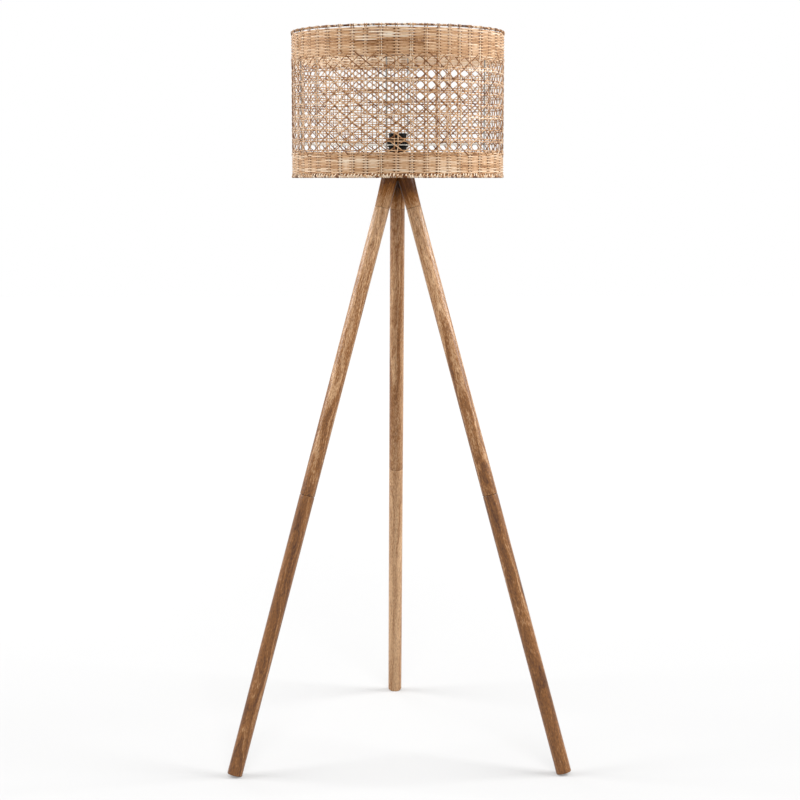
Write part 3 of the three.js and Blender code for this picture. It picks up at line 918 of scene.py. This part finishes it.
def drum(angle, height, offset):
    """Points on the drum: the axis, plus the weave's radius and the offset along the angle's
    direction, at the height. Also the outward direction at each."""
    angle, height, offset = np.broadcast_arrays(angle, height, offset)
    outward = np.stack([np.cos(angle), np.sin(angle), 0 * angle], -1)
    points = outward * (WEAVE_RADIUS + offset)[..., None]
    points[..., :2] += AXIS
    points[..., 2] = height
    return points, outward


def from_front(angle):
    """Degrees round the drum from its front, positive to the right."""
    return np.degrees((angle + math.pi * 1.5) % TURN - math.pi)


class LAMP_OT_shade_frame(bpy.types.Operator):
    """Wire frame: fitter ring, three arms and six uprights"""

    bl_idname = "lamp.shade_frame"
    bl_label = "Shade frame"

    def execute(self, context):
        flat = turned_ring(square_ring("fitter_ring", 20.25, 30), 0.4, 128)
        stand_in("fitter_ring", "fitter_ring_pressed", flat, "white_wire")
        for index in range(6):
            node = f"frame_upright_{index + 1}"
            low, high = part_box(node)
            middle = (np.array(low) + np.array(high)) / 2
            direction = unit(middle[:2] - AXIS)
            heights = np.linspace(low.z, high.z, 60)
            sizes = (1.5 * MM, 0.5 * MM, 2 * MM)
            self.wire(node, (*middle[:2], 0), UP, (*direction, 0), heights, sizes, 16, "dark_wire")
            if index % 2:
                self.arm(f"spider_arm_{index // 2 + 1}", middle, direction)
        return {"FINISHED"}

    def arm(self, node, upright, direction):
        """A wire from the fitter ring to an upright, with more stations near both ends."""
        height = sum(ends(node)) / 2
        reach = np.linalg.norm(upright[:2] - AXIS) - 1.6 * MM
        start = 30.3 * MM
        inner = np.linspace(start, start + 8 * MM, 9)
        middle = np.linspace(start + 16 * MM, reach - 12 * MM, 12)
        run = np.concatenate([inner, middle, np.linspace(reach - 8 * MM, reach, 9)])
        sizes = (2 * MM, 0.7 * MM, 2.5 * MM)
        self.wire(node, (*AXIS, height), (*direction, 0), UP, run, sizes, 20, "white_wire")

    def wire(self, node, base, direction, outward, run, sizes, corners, slot):
        """A straight round wire, base + run * direction, with a weld bead at both ends: the
        radius is the first size, plus the second times a bell curve as wide as the third."""
        radius, growth, spread = sizes
        path = (base + run[:, None] * np.array(direction))[None]
        bead = radius + growth * bell(within(run, run[0], run[-1]), spread)
        outward = np.broadcast_to(outward, path.shape)
        tube = swept(path, outward, bead, bead, round_section(corners))
        stand_in(node, node + "_wire", skin(tube), slot)


# How far a strand of the web swings out of the weave's middle at a crossing, and how far a stake
# bends between the weavers of a band.
SWING = 0.5 * MM
BEND = 0.25 * MM


class Weave:
    """The shade's plan: where its stakes, rows and weavers lie before hand-made unevenness, and
    the unevenness itself."""

    def __init__(self, settings):
        self.settings = settings
        self.random = np.random.default_rng(settings.seed)
        self.pitch = TURN / settings.columns
        # The first stake pair stands 2.1 degrees left of the front.
        self.first = math.radians(-90 - 2.1)
        self.row_pitch = (WEB_HIGH - WEB_LOW) / settings.rows
        self.half_pair = settings.stake_gap / 2 / WEAVE_RADIUS
        self.half_row = settings.row_gap / 2
        self.half_width = settings.strand_width / 2
        self.half_thickness = settings.strand_thickness / 2
        plan = np.random.default_rng(settings.seed + 100)
        self.turns = np.array([2, 3, 5, 8, 13])
        self.phases = plan.uniform(0, TURN, (2, 5))

    def wander(self, angle, height):
        """Hand-made unevenness: the angle gains a sum of sines of itself that lean with height and
        a bell curve at the back, and the height gains other sines that die away at both rims."""
        low, high = BOTTOM_BAND_LOW, TOP_BAND_HIGH
        level = grown(height - low, high - low)
        sway = np.array([13.8, 15.0, 15.2, 7.4, 0.9]) * 1e-3
        start = np.array([0.30, -0.04, 2.35, -0.35, -3.05])
        lean = np.array([2, 2, 3, 5, 4]) * 1e-3
        lift = np.array([0.5, 0.5, 0.6, 0.5, 0.4]) * MM
        waves = angle[..., None] * self.turns
        leant = (level[..., None] - 0.5) * lean * np.sin(waves + self.phases[0])
        behind = (angle - math.radians(120) + math.pi) % TURN - math.pi
        pulled = self.pitch / 2 * bell(behind, math.radians(22))
        moved = (sway * np.sin(waves + start) + leant).sum(-1) - 0.011 + pulled
        raised = (lift * np.sin(waves + self.phases[1] + level[..., None] * 5)).sum(-1)
        return angle + moved, height + raised * np.sin(math.pi * level)

    def on_drum(self, angle, height, offset):
        """Points on the drum and their outward directions, after the unevenness."""
        angle, height, offset = np.broadcast_arrays(angle, height, offset)
        return drum(*self.wander(angle, height), offset)


def twist(x, half, pitch):
    """-1 at minus half, +1 at plus half and 0 half-way to the next pair: a sine between the pair's
    two strands and a cosine outside them, with x wrapped to one pitch."""
    x = (x + pitch / 2) % pitch - pitch / 2
    inside = np.sin(math.pi * x / (2 * half))
    outside = np.sign(x) * np.sin(math.pi / 2 * (pitch / 2 - np.abs(x)) / (pitch / 2 - half))
    return np.where(np.abs(x) < half, inside, outside)


def arcs(weave, angle, rows, mean, spread, blend=0.45):
    """Tones of rows of strands, each pieced from a few lengths: at each angle the tone of the
    length it falls in, part of it carried on from the row below."""
    tones, last = [], None
    turns = (angle - angle.min()) / TURN
    for _ in range(rows):
        joins = np.sort(weave.random.uniform(0, 1, weave.random.integers(5, 11)))
        values = weave.random.normal(mean, spread, len(joins) + 1)
        values[-1] = values[0]
        tone = values[np.searchsorted(joins, turns)]
        last = tone if last is None else blend * last + (1 - blend) * tone
        tones.append(tone * 0.6 + last * 0.4)
    return np.clip(np.array(tones), 0.03, 1.0)


def weave_in(name, skins, nodes, settings):
    """A piece of cane strands that stands for CAD nodes of the shade."""
    place(name, mesh_of(name, skins), nodes, split_cane(settings))


class LAMP_OT_rims(bpy.types.Operator):
    """Rims: a wire ring wrapped in cane at both, and a lashing round the lower one"""

    bl_idname = "lamp.rims"
    bl_label = "Rims"

    def execute(self, context):
        weave = Weave(context.scene.lamp_shade)
        # Each wrapping's drop below the wire's middle, its half depth and half height, in
        # millimetres, and its tone.
        wraps = {"top_ring": (0.35, 1.8, 2.0, 0.36), "bottom_ring": (-0.8, 2.6, 2.7, 0.56)}
        for node, (drop, half_depth, half_height, tone) in wraps.items():
            middle = sum(ends(node)) / 2
            stand_in(node, node + "_wire", self.wire(middle), "white_wire")
            wrap = self.coil(weave, middle, drop, half_depth, half_height, 400, 1.7, tone)
            weave_in(node + "_wrap", [wrap], [node], weave.settings)
        low = ends("bottom_ring")[0]
        lashing = self.coil(weave, low, -5.2, 2.3, 3.4, 190, 1.6, 0.92)
        weave_in("lower_rim_lashing", [lashing], ["bottom_ring"], weave.settings)
        return {"FINISHED"}

    def wire(self, middle):
        """A closed ring of round wire at a height."""
        angle = np.arange(240) / 240 * TURN
        points, outward = drum(angle[None, :], middle, WIRE_OFFSET)
        radius = 1.25 * MM
        return skin(swept(points, outward, radius, radius, round_section(12), True), True)

    def coil(self, weave, level, drop, half_depth, half_height, turns, half_width, tone):
        """A closed helix round the rim: with turns times the drum's angle as the coil's own angle,
        the offset is half depth * cosine and the height is half height * sine, about a middle
        that drops below the level. Its measures are in millimetres."""
        middle, half_height = level - drop * MM, half_height * MM
        stations = 12
        count = turns * stations
        at = np.arange(count) / stations
        whole = np.arange(turns + 1)
        angle = np.arange(count) / count * TURN
        # Turns are wound by hand, up to a sixth of a turn early or late.
        late = weave.random.uniform(-1, 1, turns + 1)
        late[-1] = late[0]
        own = angle * turns + np.interp(at, whole, late)
        # The wrapping starts and ends in a few thicker, darker turns.
        knot = sum(bell(from_front(angle) - degrees, 2.6) for degrees in (-40, -71, 38, 118))
        loose = np.interp(at, whole, weave.random.normal(0, 0.1, turns + 1))
        uneven = 1 + 0.08 * np.sin(angle * 37) + loose + 0.3 * knot
        offset = WIRE_OFFSET + half_depth * MM * np.cos(own) * uneven
        height = np.maximum(middle + half_height * np.sin(own) * uneven, middle - half_height)
        points, outward = drum(angle[None, :], height, offset[None, :])
        own = own[None, :, None]
        normal = outward * np.cos(own) + UP * np.sin(own)
        single = weave.random.normal(tone, 0.36, turns)
        tones = np.clip(np.repeat(single, stations) - 0.3 * knot, 0.04, 1.0)[None, :]
        share = np.interp(at, whole, weave.random.uniform(0.6, 1.15, turns + 1))
        width = half_width * MM * share
        return strand_skin(points, normal, width, 0.32 * MM, tones, closed=True)


class LAMP_OT_bands(bpy.types.Operator):
    """Close-woven bands: weavers that pass in front of one stake pair and behind the next"""

    bl_idname = "lamp.bands"
    bl_label = "Bands"

    def execute(self, context):
        weave = Weave(context.scene.lamp_shade)
        count = weave.settings.weavers
        # Lengths of another tone: the first and last gap between pairs, counted from the front
        # one rightwards, the first and last row, and the change of tone.
        top = (
            (-1, -1, 12, 15, 0.42), (-3, -2, 15, 15, 0.36), (-3, -2, 12, 12, 0.4),
            (-3, -2, 10, 10, 0.36), (0, 0, 12, 12, 0.34), (0, 0, 13, 17, 0.1),
            (-3, -2, 6, 9, -0.22), (-1, -1, 6, 10, -0.13), (-2, -1, 16, 17, -0.1),
            (0, 1, 5, 11, -0.05), (-12, -4, 0, 18, -0.03), (3, 12, 0, 18, 0.03),
        )
        bottom = (
            (-4, -4, 4, 13, 0.16), (-3, -2, 6, 12, 0.1), (-1, 0, 5, 15, -0.04),
            (-4, -1, 3, 3, -0.2), (3, 4, 1, 10, 0.14), (-24, 23, 0, 1, -0.13),
        )
        # The top band has one weaver more, over the others.
        high = TOP_BAND_HIGH + 3.0 * MM
        self.band(weave, "top_band", TOP_BAND_LOW, high, count + 1, 0.5, top, 1.0 * MM)
        low, high = BOTTOM_BAND_LOW, BOTTOM_BAND_HIGH
        self.band(weave, "bottom_band", low, high, count, 0.51, bottom, 0.0)
        return {"FINISHED"}

    def band(self, weave, node, low, high, count, mean, patches, lift):
        """Closed rings, one a row, that pass in front of one stake pair and behind the next, with
        the sign changing from row to row. By the distance from the nearest pair, the offset is a
        falling straight line plus a bell curve, so the rows lie flush midway between pairs. The
        top rows rise by up to the lift, in two bell curves either side of the front."""
        settings, random, columns = weave.settings, weave.random, weave.settings.columns
        # Stations by their distance from the nearest pair, the last one midway to the next.
        steps = np.array([-11.5, -8, -5.6, -4, -2.4, 0, 2.4, 4, 5.6, 8, 11.5, 14.7]) * MM
        column = np.repeat(np.arange(columns), len(steps))
        step = np.tile(steps, columns)
        angle = weave.first + column * weave.pitch + step / WEAVE_RADIUS
        away = np.abs(step)
        row = np.arange(count)[:, None]
        pitch = (high - low) / count
        sign = np.where((row + column) % 2, -1.0, 1.0)
        wave = sign * (0.3 * (1 - away / steps[-1]) + 0.7 * bell(away, 5 * MM))
        uneven = random.normal(0, 0.07 * MM, (count, 1))
        ripple = 0.09 * MM * np.sin(angle * random.integers(5, 20, (count, 1)) + row * 2.4)
        seen = from_front(angle)
        bells = bell(seen + 13, 10) + bell(seen - 58, 22)
        height = low + (row + 0.5) * pitch + uneven + ripple
        height = height + lift * bells * ((row + 0.5) / count) ** 4
        width = pitch / 2 * random.normal(1.0, 0.025, (count, 1))
        tone = np.maximum(arcs(weave, angle, count, mean, 0.13, 0.3), 0.38)
        gap = (column - (step < 0) + columns // 2) % columns - columns // 2
        # Three rows or so at a time change tone together from gap to gap.
        blocks = np.repeat(random.normal(0, 0.06, (count // 3 + 1, columns)), 3, 0)
        tone = tone + blocks[:count, gap]
        for start, stop, first, last, change in patches:
            inside = (gap >= start) & (gap <= stop) & (row >= first) & (row <= last)
            tone = np.where(inside, tone + change, tone)
        # Painted shade darkens the strand where it is pinched behind a pair, to a random depth at each crossing,
        # and a painted highlight lightens it where it bulges out in front.
        near = np.where(away < 1 * MM, 0, grown(11 * MM - away, 7 * MM) ** 1.7)
        pinched, painted_bulge = near * np.clip(-2 * wave, 0, 1), near * np.clip(2 * wave, 0, 1)
        pinch_shade_strength = random.uniform(0.65, 1.25, (1, columns))
        pinch_shade_strength = pinch_shade_strength * random.uniform(0.8, 1.25, (count, columns))
        pinched = pinched * np.clip(pinch_shade_strength, 0, 1)[:, column]
        # The inner face is paler than the skin, as split cane is, and paler still as painted light on the drum's
        # shaded inside. Painted shade darkens it where it bulges over the pair.
        inner = (tone + 0.33) * (1 - 0.45 * painted_bulge)
        tone = np.clip(tone + 0.1 * painted_bulge, 0.08, 1.0) * (1 - 0.9 * pinched)
        points, outward = weave.on_drum(angle, height, wave * 1.3 * MM)
        tone = np.clip(tone, 0.02, 1.0)
        part = strand_skin(points, outward, width, 0.6 * MM, tone, inner, closed=True)
        weave_in(node + "_weavers", [part], [node], settings)


class LAMP_OT_stakes(bpy.types.Operator):
    """Paired upright stakes, from the lower rim to over the upper rim wire and down inside"""

    bl_idname = "lamp.stakes"
    bl_label = "Stakes"

    def execute(self, context):
        weave = Weave(context.scene.lamp_shade)
        settings = weave.settings
        height, offset, region, roll = self.stations(weave)
        in_band, in_web, over_rim = (region == index for index in range(3))
        columns = np.arange(settings.columns)[:, None]
        inside = within(height, WEB_LOW, WEB_HIGH)
        level = (height - WEB_LOW) / (WEB_HIGH - WEB_LOW)
        pinched = weave.half_pair * settings.band_gap / settings.stake_gap
        spread = np.where(over_rim, 2.3 * MM / WEAVE_RADIUS, pinched)
        open_web = grown(inside, 12 * MM)
        spread = spread + (weave.half_pair - spread) * open_web * (2 - open_web)
        offset = np.where(in_band & (columns % 2 == 1), -offset, offset)
        weft = twist(height - WEB_LOW, weave.half_row, weave.row_pitch) * SWING
        weft = weft * grown(inside, 4 * MM)
        for side, name in ((-1, "first"), (1, "second")):
            jitter = weave.random.normal(0, 0.35 * MM / WEAVE_RADIUS, columns.shape)
            lean = weave.random.normal(0, 0.5 * MM / WEAVE_RADIUS, columns.shape)
            angle = weave.first + columns * weave.pitch + side * spread
            angle = angle + jitter + lean * np.sin(level * 4 + jitter * 900)
            off = np.where(in_web, side * weft, offset)
            points, outward = weave.on_drum(angle, height, off)
            # Over the rim wire the strand's flat side stays against the wire.
            outward = outward * np.cos(roll)[:, None] + UP * np.sin(roll)[:, None]
            tone = weave.random.normal(0.55, 0.18, columns.shape)
            # Painted highlight and shade: strands are paler where they lie in front and darker where they lie
            # behind, in the web and in the bands. They are darker over the rim wire.
            painted_crossing_light = off / SWING * 0.2 * in_web
            tone = tone + np.where(in_band, off / BEND * 0.14 + 0.06, painted_crossing_light)
            tone = np.clip(tone - 0.12 * over_rim, 0.12, 0.98)
            width = weave.half_width * np.where(over_rim, 0.62, 1.0)
            part = strand_skin(points, outward, width, weave.half_thickness, tone)
            weave_in(f"stakes_{name}_of_pair", [part], WEBS, settings)
        return {"FINISHED"}

    def stations(self, weave):
        """Heights of a stake's stations, and there its offset, region and roll. The region is 0
        in a band, where the stake bends against the weavers, 1 in the web, and 2 over the rim
        wire, where it runs round a circle and down the inside."""
        settings = weave.settings
        row = np.arange(-0.5, settings.weavers, 0.5)[1:]
        bent = -BEND * np.cos(math.pi * row)
        limits = ((BOTTOM_BAND_LOW, BOTTOM_BAND_HIGH), (TOP_BAND_LOW, TOP_BAND_HIGH))
        bands = [low + (row + 0.5) * (high - low) / settings.weavers for low, high in limits]
        # Stations at a row's two strands, between them, and over the gap to the next row.
        steps = np.array([5.6, 8.8, 11.9, 15.0, 18.2]) * MM
        steps = np.concatenate([[-weave.half_row, 0, weave.half_row], steps])
        web = (WEB_LOW + np.arange(settings.rows + 1)[:, None] * weave.row_pitch + steps).ravel()
        web = web[(web > WEB_LOW + 0.8 * MM) & (web < WEB_HIGH - 0.8 * MM)]
        middle, loop = WIRE_HIGH - WIRE_RADIUS, 2.6 * MM
        over = np.radians(np.arange(-20, 200, 22))
        up = TOP_BAND_HIGH + np.array([1.2, 3.0]) * MM
        down = middle - np.array([3, 6.5, 10, 14, 18]) * MM
        down_offset = np.array([-2.4, -2.3, -2.2, -2.2, -2.15]) * MM
        loop_heights = np.concatenate([up, middle + loop * np.sin(over), down])
        loop_offsets = [0.5 * MM, 1.3 * MM, *(WIRE_OFFSET + loop * np.cos(over)), *down_offset]
        heights = (bands[0], web, bands[1], loop_heights)
        offsets = (bent, 0 * web, bent, loop_offsets)
        regions = [np.full(len(part), index) for part, index in zip(heights, (0, 1, 0, 2))]
        rolls = (0 * bent, 0 * web, 0 * bent, [0, 0, *over, *[math.pi] * len(down)])
        return [np.concatenate(parts) for parts in (heights, offsets, regions, rolls)]


class LAMP_OT_web(bpy.types.Operator):
    """Web between the bands: paired rows and two sets of diagonals, woven round the stakes"""

    bl_idname = "lamp.web"
    bl_label = "Web"

    def execute(self, context):
        weave = Weave(context.scene.lamp_shade)
        weave_in("web_rows", self.rows(weave), WEBS, weave.settings)
        for direction, name in ((1, "diagonals_rising"), (-1, "diagonals_falling")):
            weave_in(name, [self.diagonals(weave, direction)], WEBS, weave.settings)
        return {"FINISHED"}

    def rows(self, weave):
        """Closed rings at each row line. A ring's offset is the twist about each stake pair, so
        that it goes under one stake and over the other."""
        settings = weave.settings
        half = settings.stake_gap / 2
        # Stations at a pair's two stakes, between them, and over the gap to the next pair.
        steps = np.array([6.75, 9.9, 13.05, 16.2, 19.35, 22.5]) * MM
        steps = np.concatenate([[-half, 0, half], steps])
        pitch = weave.pitch * WEAVE_RADIUS
        across = (np.arange(settings.columns)[:, None] * pitch + steps).ravel()
        angle = weave.first + across / WEAVE_RADIUS
        skins = []
        for side in (-1, 1):
            # The lower ring of each line but the first, then the upper ring of each but the last.
            lines = np.arange(settings.rows) + (side < 0)
            height = WEB_LOW + lines * weave.row_pitch + side * weave.half_row
            height = height + weave.random.normal(0, 0.35 * MM, len(lines))
            offset = -side * twist(across, half, pitch) * SWING
            points, outward = weave.on_drum(angle, height[:, None], offset)
            # Painted highlight and shade: a ring is paler where it passes over a stake and darker where it passes
            # under one.
            tone = arcs(weave, angle, len(lines), 0.47, 0.22) + offset / SWING * 0.2
            sizes = (weave.half_width, weave.half_thickness, np.clip(tone, 0.05, 1.0))
            skins.append(strand_skin(points, outward, *sizes, closed=True))
        return skins

    def diagonals(self, weave, direction):
        """Strands through the middles of the cells' sides. With t in rows, the column is
        first + 1/2 + direction * t, and the offset is +-tanh(2.2 cos 2 pi t) / tanh 2.2, a cosine
        pressed flat: over every row and under every stake pair for the rising set, and the other
        way round for the falling one. Each end lies outside or inside the band at random, and
        runs on a little way past it."""
        settings = weave.settings
        count, rows = settings.columns, settings.rows
        first = np.arange(count)[:, None]
        below = weave.random.uniform(0.12, 0.42, (count, 1))
        above = weave.random.uniform(0.14, 0.55, (count, 1))
        t = -below + np.linspace(0, 1, rows * 8 + 9) * (rows + below + above)
        wave = direction * np.tanh(2.2 * np.cos(TURN * t)) / math.tanh(2.2)
        # Which crossing an end shares with the other set, so that one is outside and one inside.
        own = np.random.default_rng(settings.seed + 55).random((2, count)) < 0.62
        low_own, high_own = own[0][first], own[1][(first + direction * rows) % count]
        wave = np.where((t < 0.5) & ~low_own, -direction, wave)
        wave = np.where((t > rows - 0.5) & ~high_own, -direction, wave)
        # The ends beyond the web stand out further, over or under the band's weavers.
        beyond = grown(np.maximum(-t, t - rows), 0.1)
        drift = weave.random.normal(0, 0.5 * MM / WEAVE_RADIUS, (count, 1))
        angle = weave.first + (first + 0.5 + direction * t) * weave.pitch
        angle = angle + drift * np.sin(t * 0.9 + first)
        offset = wave * (1.1 + 0.95 * beyond) * MM
        points, outward = weave.on_drum(angle, WEB_LOW + t * weave.row_pitch, offset)
        # Painted highlight and shade: a diagonal is paler where it passes over and darker where it passes under.
        tone = np.clip(weave.random.normal(0.26, 0.18, (count, 1)) + 0.15 * wave, 0.1, 0.9)
        width = weave.half_width * 0.95
        return strand_skin(points, outward, width, weave.half_thickness, tone)


# Stage.


def direct_rays(new):
    """1 for rays from the camera and for those that metal and glass send on, and 0 for light
    that bounces."""
    rays = new("LightPath").outputs
    shown = new("Math", (rays["Is Camera Ray"], rays["Is Glossy Ray"]), operation="MAXIMUM")
    return new("Math", (shown, rays["Is Transmission Ray"]), operation="MAXIMUM")


class LAMP_OT_stage(bpy.types.Operator):
    """Pale floor, soft light from all round, and the camera"""

    bl_idname = "lamp.stage"
    bl_label = "Stage"

    def execute(self, context):
        settings = context.scene.lamp_stage
        target = np.array([0.0, -0.05, 0.85])
        # Each lamp's name, place, size in metres and power in watts.
        lamps = (
            ("side_left", np.array([-2.9, -0.1, 2.6]), 2.0, 95),
            ("side_right", np.array([2.9, -0.3, 2.6]), 2.0, 125),
            ("front", np.array([0.3, -3.0, 3.2]), 1.6, 55),
            ("back_left", np.array([-1.6, 2.8, 2.2]), 1.6, 14),
        )
        self.camera(settings)
        self.floor(settings, lamps, target)
        self.world(settings)
        for name, position, size, power in lamps:
            self.lamp(name, position, target, size, power)
        context.scene.view_settings.view_transform = "Standard"
        return {"FINISHED"}

    def camera(self, settings):
        """Stands at its position, turned from +Y by the heading and dipped below the horizon."""
        data = bpy.data.cameras.new("camera")
        data.lens, data.sensor_width = settings.lens, 36
        data.clip_start, data.clip_end = 0.05, 100
        camera = linked("camera", data)
        camera.location = settings.position
        camera.rotation_euler = (math.pi / 2 - settings.dip, 0, -settings.heading)
        bpy.context.scene.camera = camera

    def floor(self, settings, lamps, target):
        """A flat square grid of paper, pale grey to the light that bounces. To the camera and to
        reflections it is an even white, less the shadows that fall on it: there the light at a
        point is the ambient plus each lamp's power * cosine at the lamp * cosine at the floor /
        (pi * distance)^2, and the paper's colour is the inverse of that."""
        # The paper's brightness to the camera by the lamps' light and by its own glow, and its
        # grey to the light that bounces.
        lit, glowing, grey = 0.78, 0.26, 0.46
        side = np.linspace(-14, 14, 81)
        x, y = np.meshgrid(side, side)
        corners = np.stack([x, y, 0 * x - 0.2 * MM], -1).reshape(-1, 3)
        light = np.full(len(corners), settings.ambient)
        for _, position, _, power in lamps:
            towards = position - corners
            distance = np.linalg.norm(towards, axis=1)
            facing = np.maximum(towards @ unit(position - target), 0) / distance
            light += power * facing * towards[:, 2] / distance / (math.pi * distance) ** 2
        index = np.arange(len(corners)).reshape(x.shape)
        faces = np.stack([index[:-1, :-1], index[:-1, 1:], index[1:, 1:], index[1:, :-1]], -1)
        mesh = bpy.data.meshes.new("floor")
        mesh.from_pydata(corners.tolist(), [], faces.reshape(-1, 4).tolist())
        layer = mesh.attributes.new("paper", "FLOAT", "POINT")
        layer.data.foreach_set("value", (lit / light).astype(np.float32))
        # Paper, matt and white: an even tone with no shine.
        made, new = blank_material("paper_floor_white")
        shown = direct_rays(new)
        strength = new("Math", (shown, glowing), operation="MULTIPLY")
        glow = new("Emission", {"Color": (1, 1, 1, 1), "Strength": strength})
        paper = new("Attribute", attribute_name="paper", attribute_type="GEOMETRY")
        tint = new("MixRGB", (shown, (grey, grey, grey, 1), paper))
        both = new("AddShader", (glow, new("BsdfDiffuse", {"Color": tint})))
        new("OutputMaterial", [both])
        mesh.materials.append(made)
        linked("floor", mesh)

    def world(self, settings):
        """White to the camera and to reflections, and the ambient light to the rest."""
        world = bpy.data.worlds.new("studio")
        world.use_nodes = True
        world.node_tree.nodes.clear()
        new = functools.partial(add, world.node_tree)
        feeds = (direct_rays(new), 1.0 - settings.ambient, settings.ambient)
        strength = new("Math", feeds, operation="MULTIPLY_ADD")
        new("OutputWorld", [new("Background", {"Color": (1, 1, 1, 1), "Strength": strength})])
        bpy.context.scene.world = world

    def lamp(self, name, position, target, size, power):
        """A square area lamp that faces the target."""
        data = bpy.data.lights.new(name, "AREA")
        data.shape, data.size, data.energy = "SQUARE", size, power
        lamp = linked(name, data)
        lamp.location = position
        back = unit(position - target)
        side = unit(np.cross(UP, back))
        lamp.rotation_euler = (math.acos(back[2]), 0, math.atan2(side[1], side[0]))


STEPS = (
    LAMP_OT_stage,
    LAMP_OT_legs,
    LAMP_OT_hub,
    LAMP_OT_fixings,
    LAMP_OT_lampholder,
    LAMP_OT_shade_frame,
    LAMP_OT_rims,
    LAMP_OT_bands,
    LAMP_OT_stakes,
    LAMP_OT_web,
)
SETTINGS = {
    "lamp_shade": LampShadeSettings,
    "lamp_wood": LampWoodSettings,
    "lamp_holder": LampHolderSettings,
    "lamp_finishes": LampFinishSettings,
    "lamp_stage": LampStageSettings,
}


class LAMP_PT_pieces(bpy.types.Panel):
    """Lists the lamp's pieces and their settings"""

    bl_idname = "LAMP_PT_pieces"
    bl_label = "Rattan floor lamp"
    bl_space_type = "VIEW_3D"
    bl_region_type = "UI"
    bl_category = "Lamp"

    def draw(self, context):
        for step in STEPS:
            self.layout.operator(step.bl_idname)
        for name in SETTINGS:
            group = getattr(context.scene, name)
            box = self.layout.box()
            for key in group.__annotations__:
                box.prop(group, key)


CLASSES = (*SETTINGS.values(), *STEPS, LAMP_PT_pieces)


def register():
    for made in CLASSES:
        bpy.utils.register_class(made)
    for name, group in SETTINGS.items():
        setattr(bpy.types.Scene, name, bpy.props.PointerProperty(type=group))


def unregister():
    for name in SETTINGS:
        delattr(bpy.types.Scene, name)
    for made in reversed(CLASSES):
        bpy.utils.unregister_class(made)


def main():
    register()
    for step in STEPS:
        area, name = step.bl_idname.split(".")
        getattr(getattr(bpy.ops, area), name)()


if __name__ == "__main__":
    main()
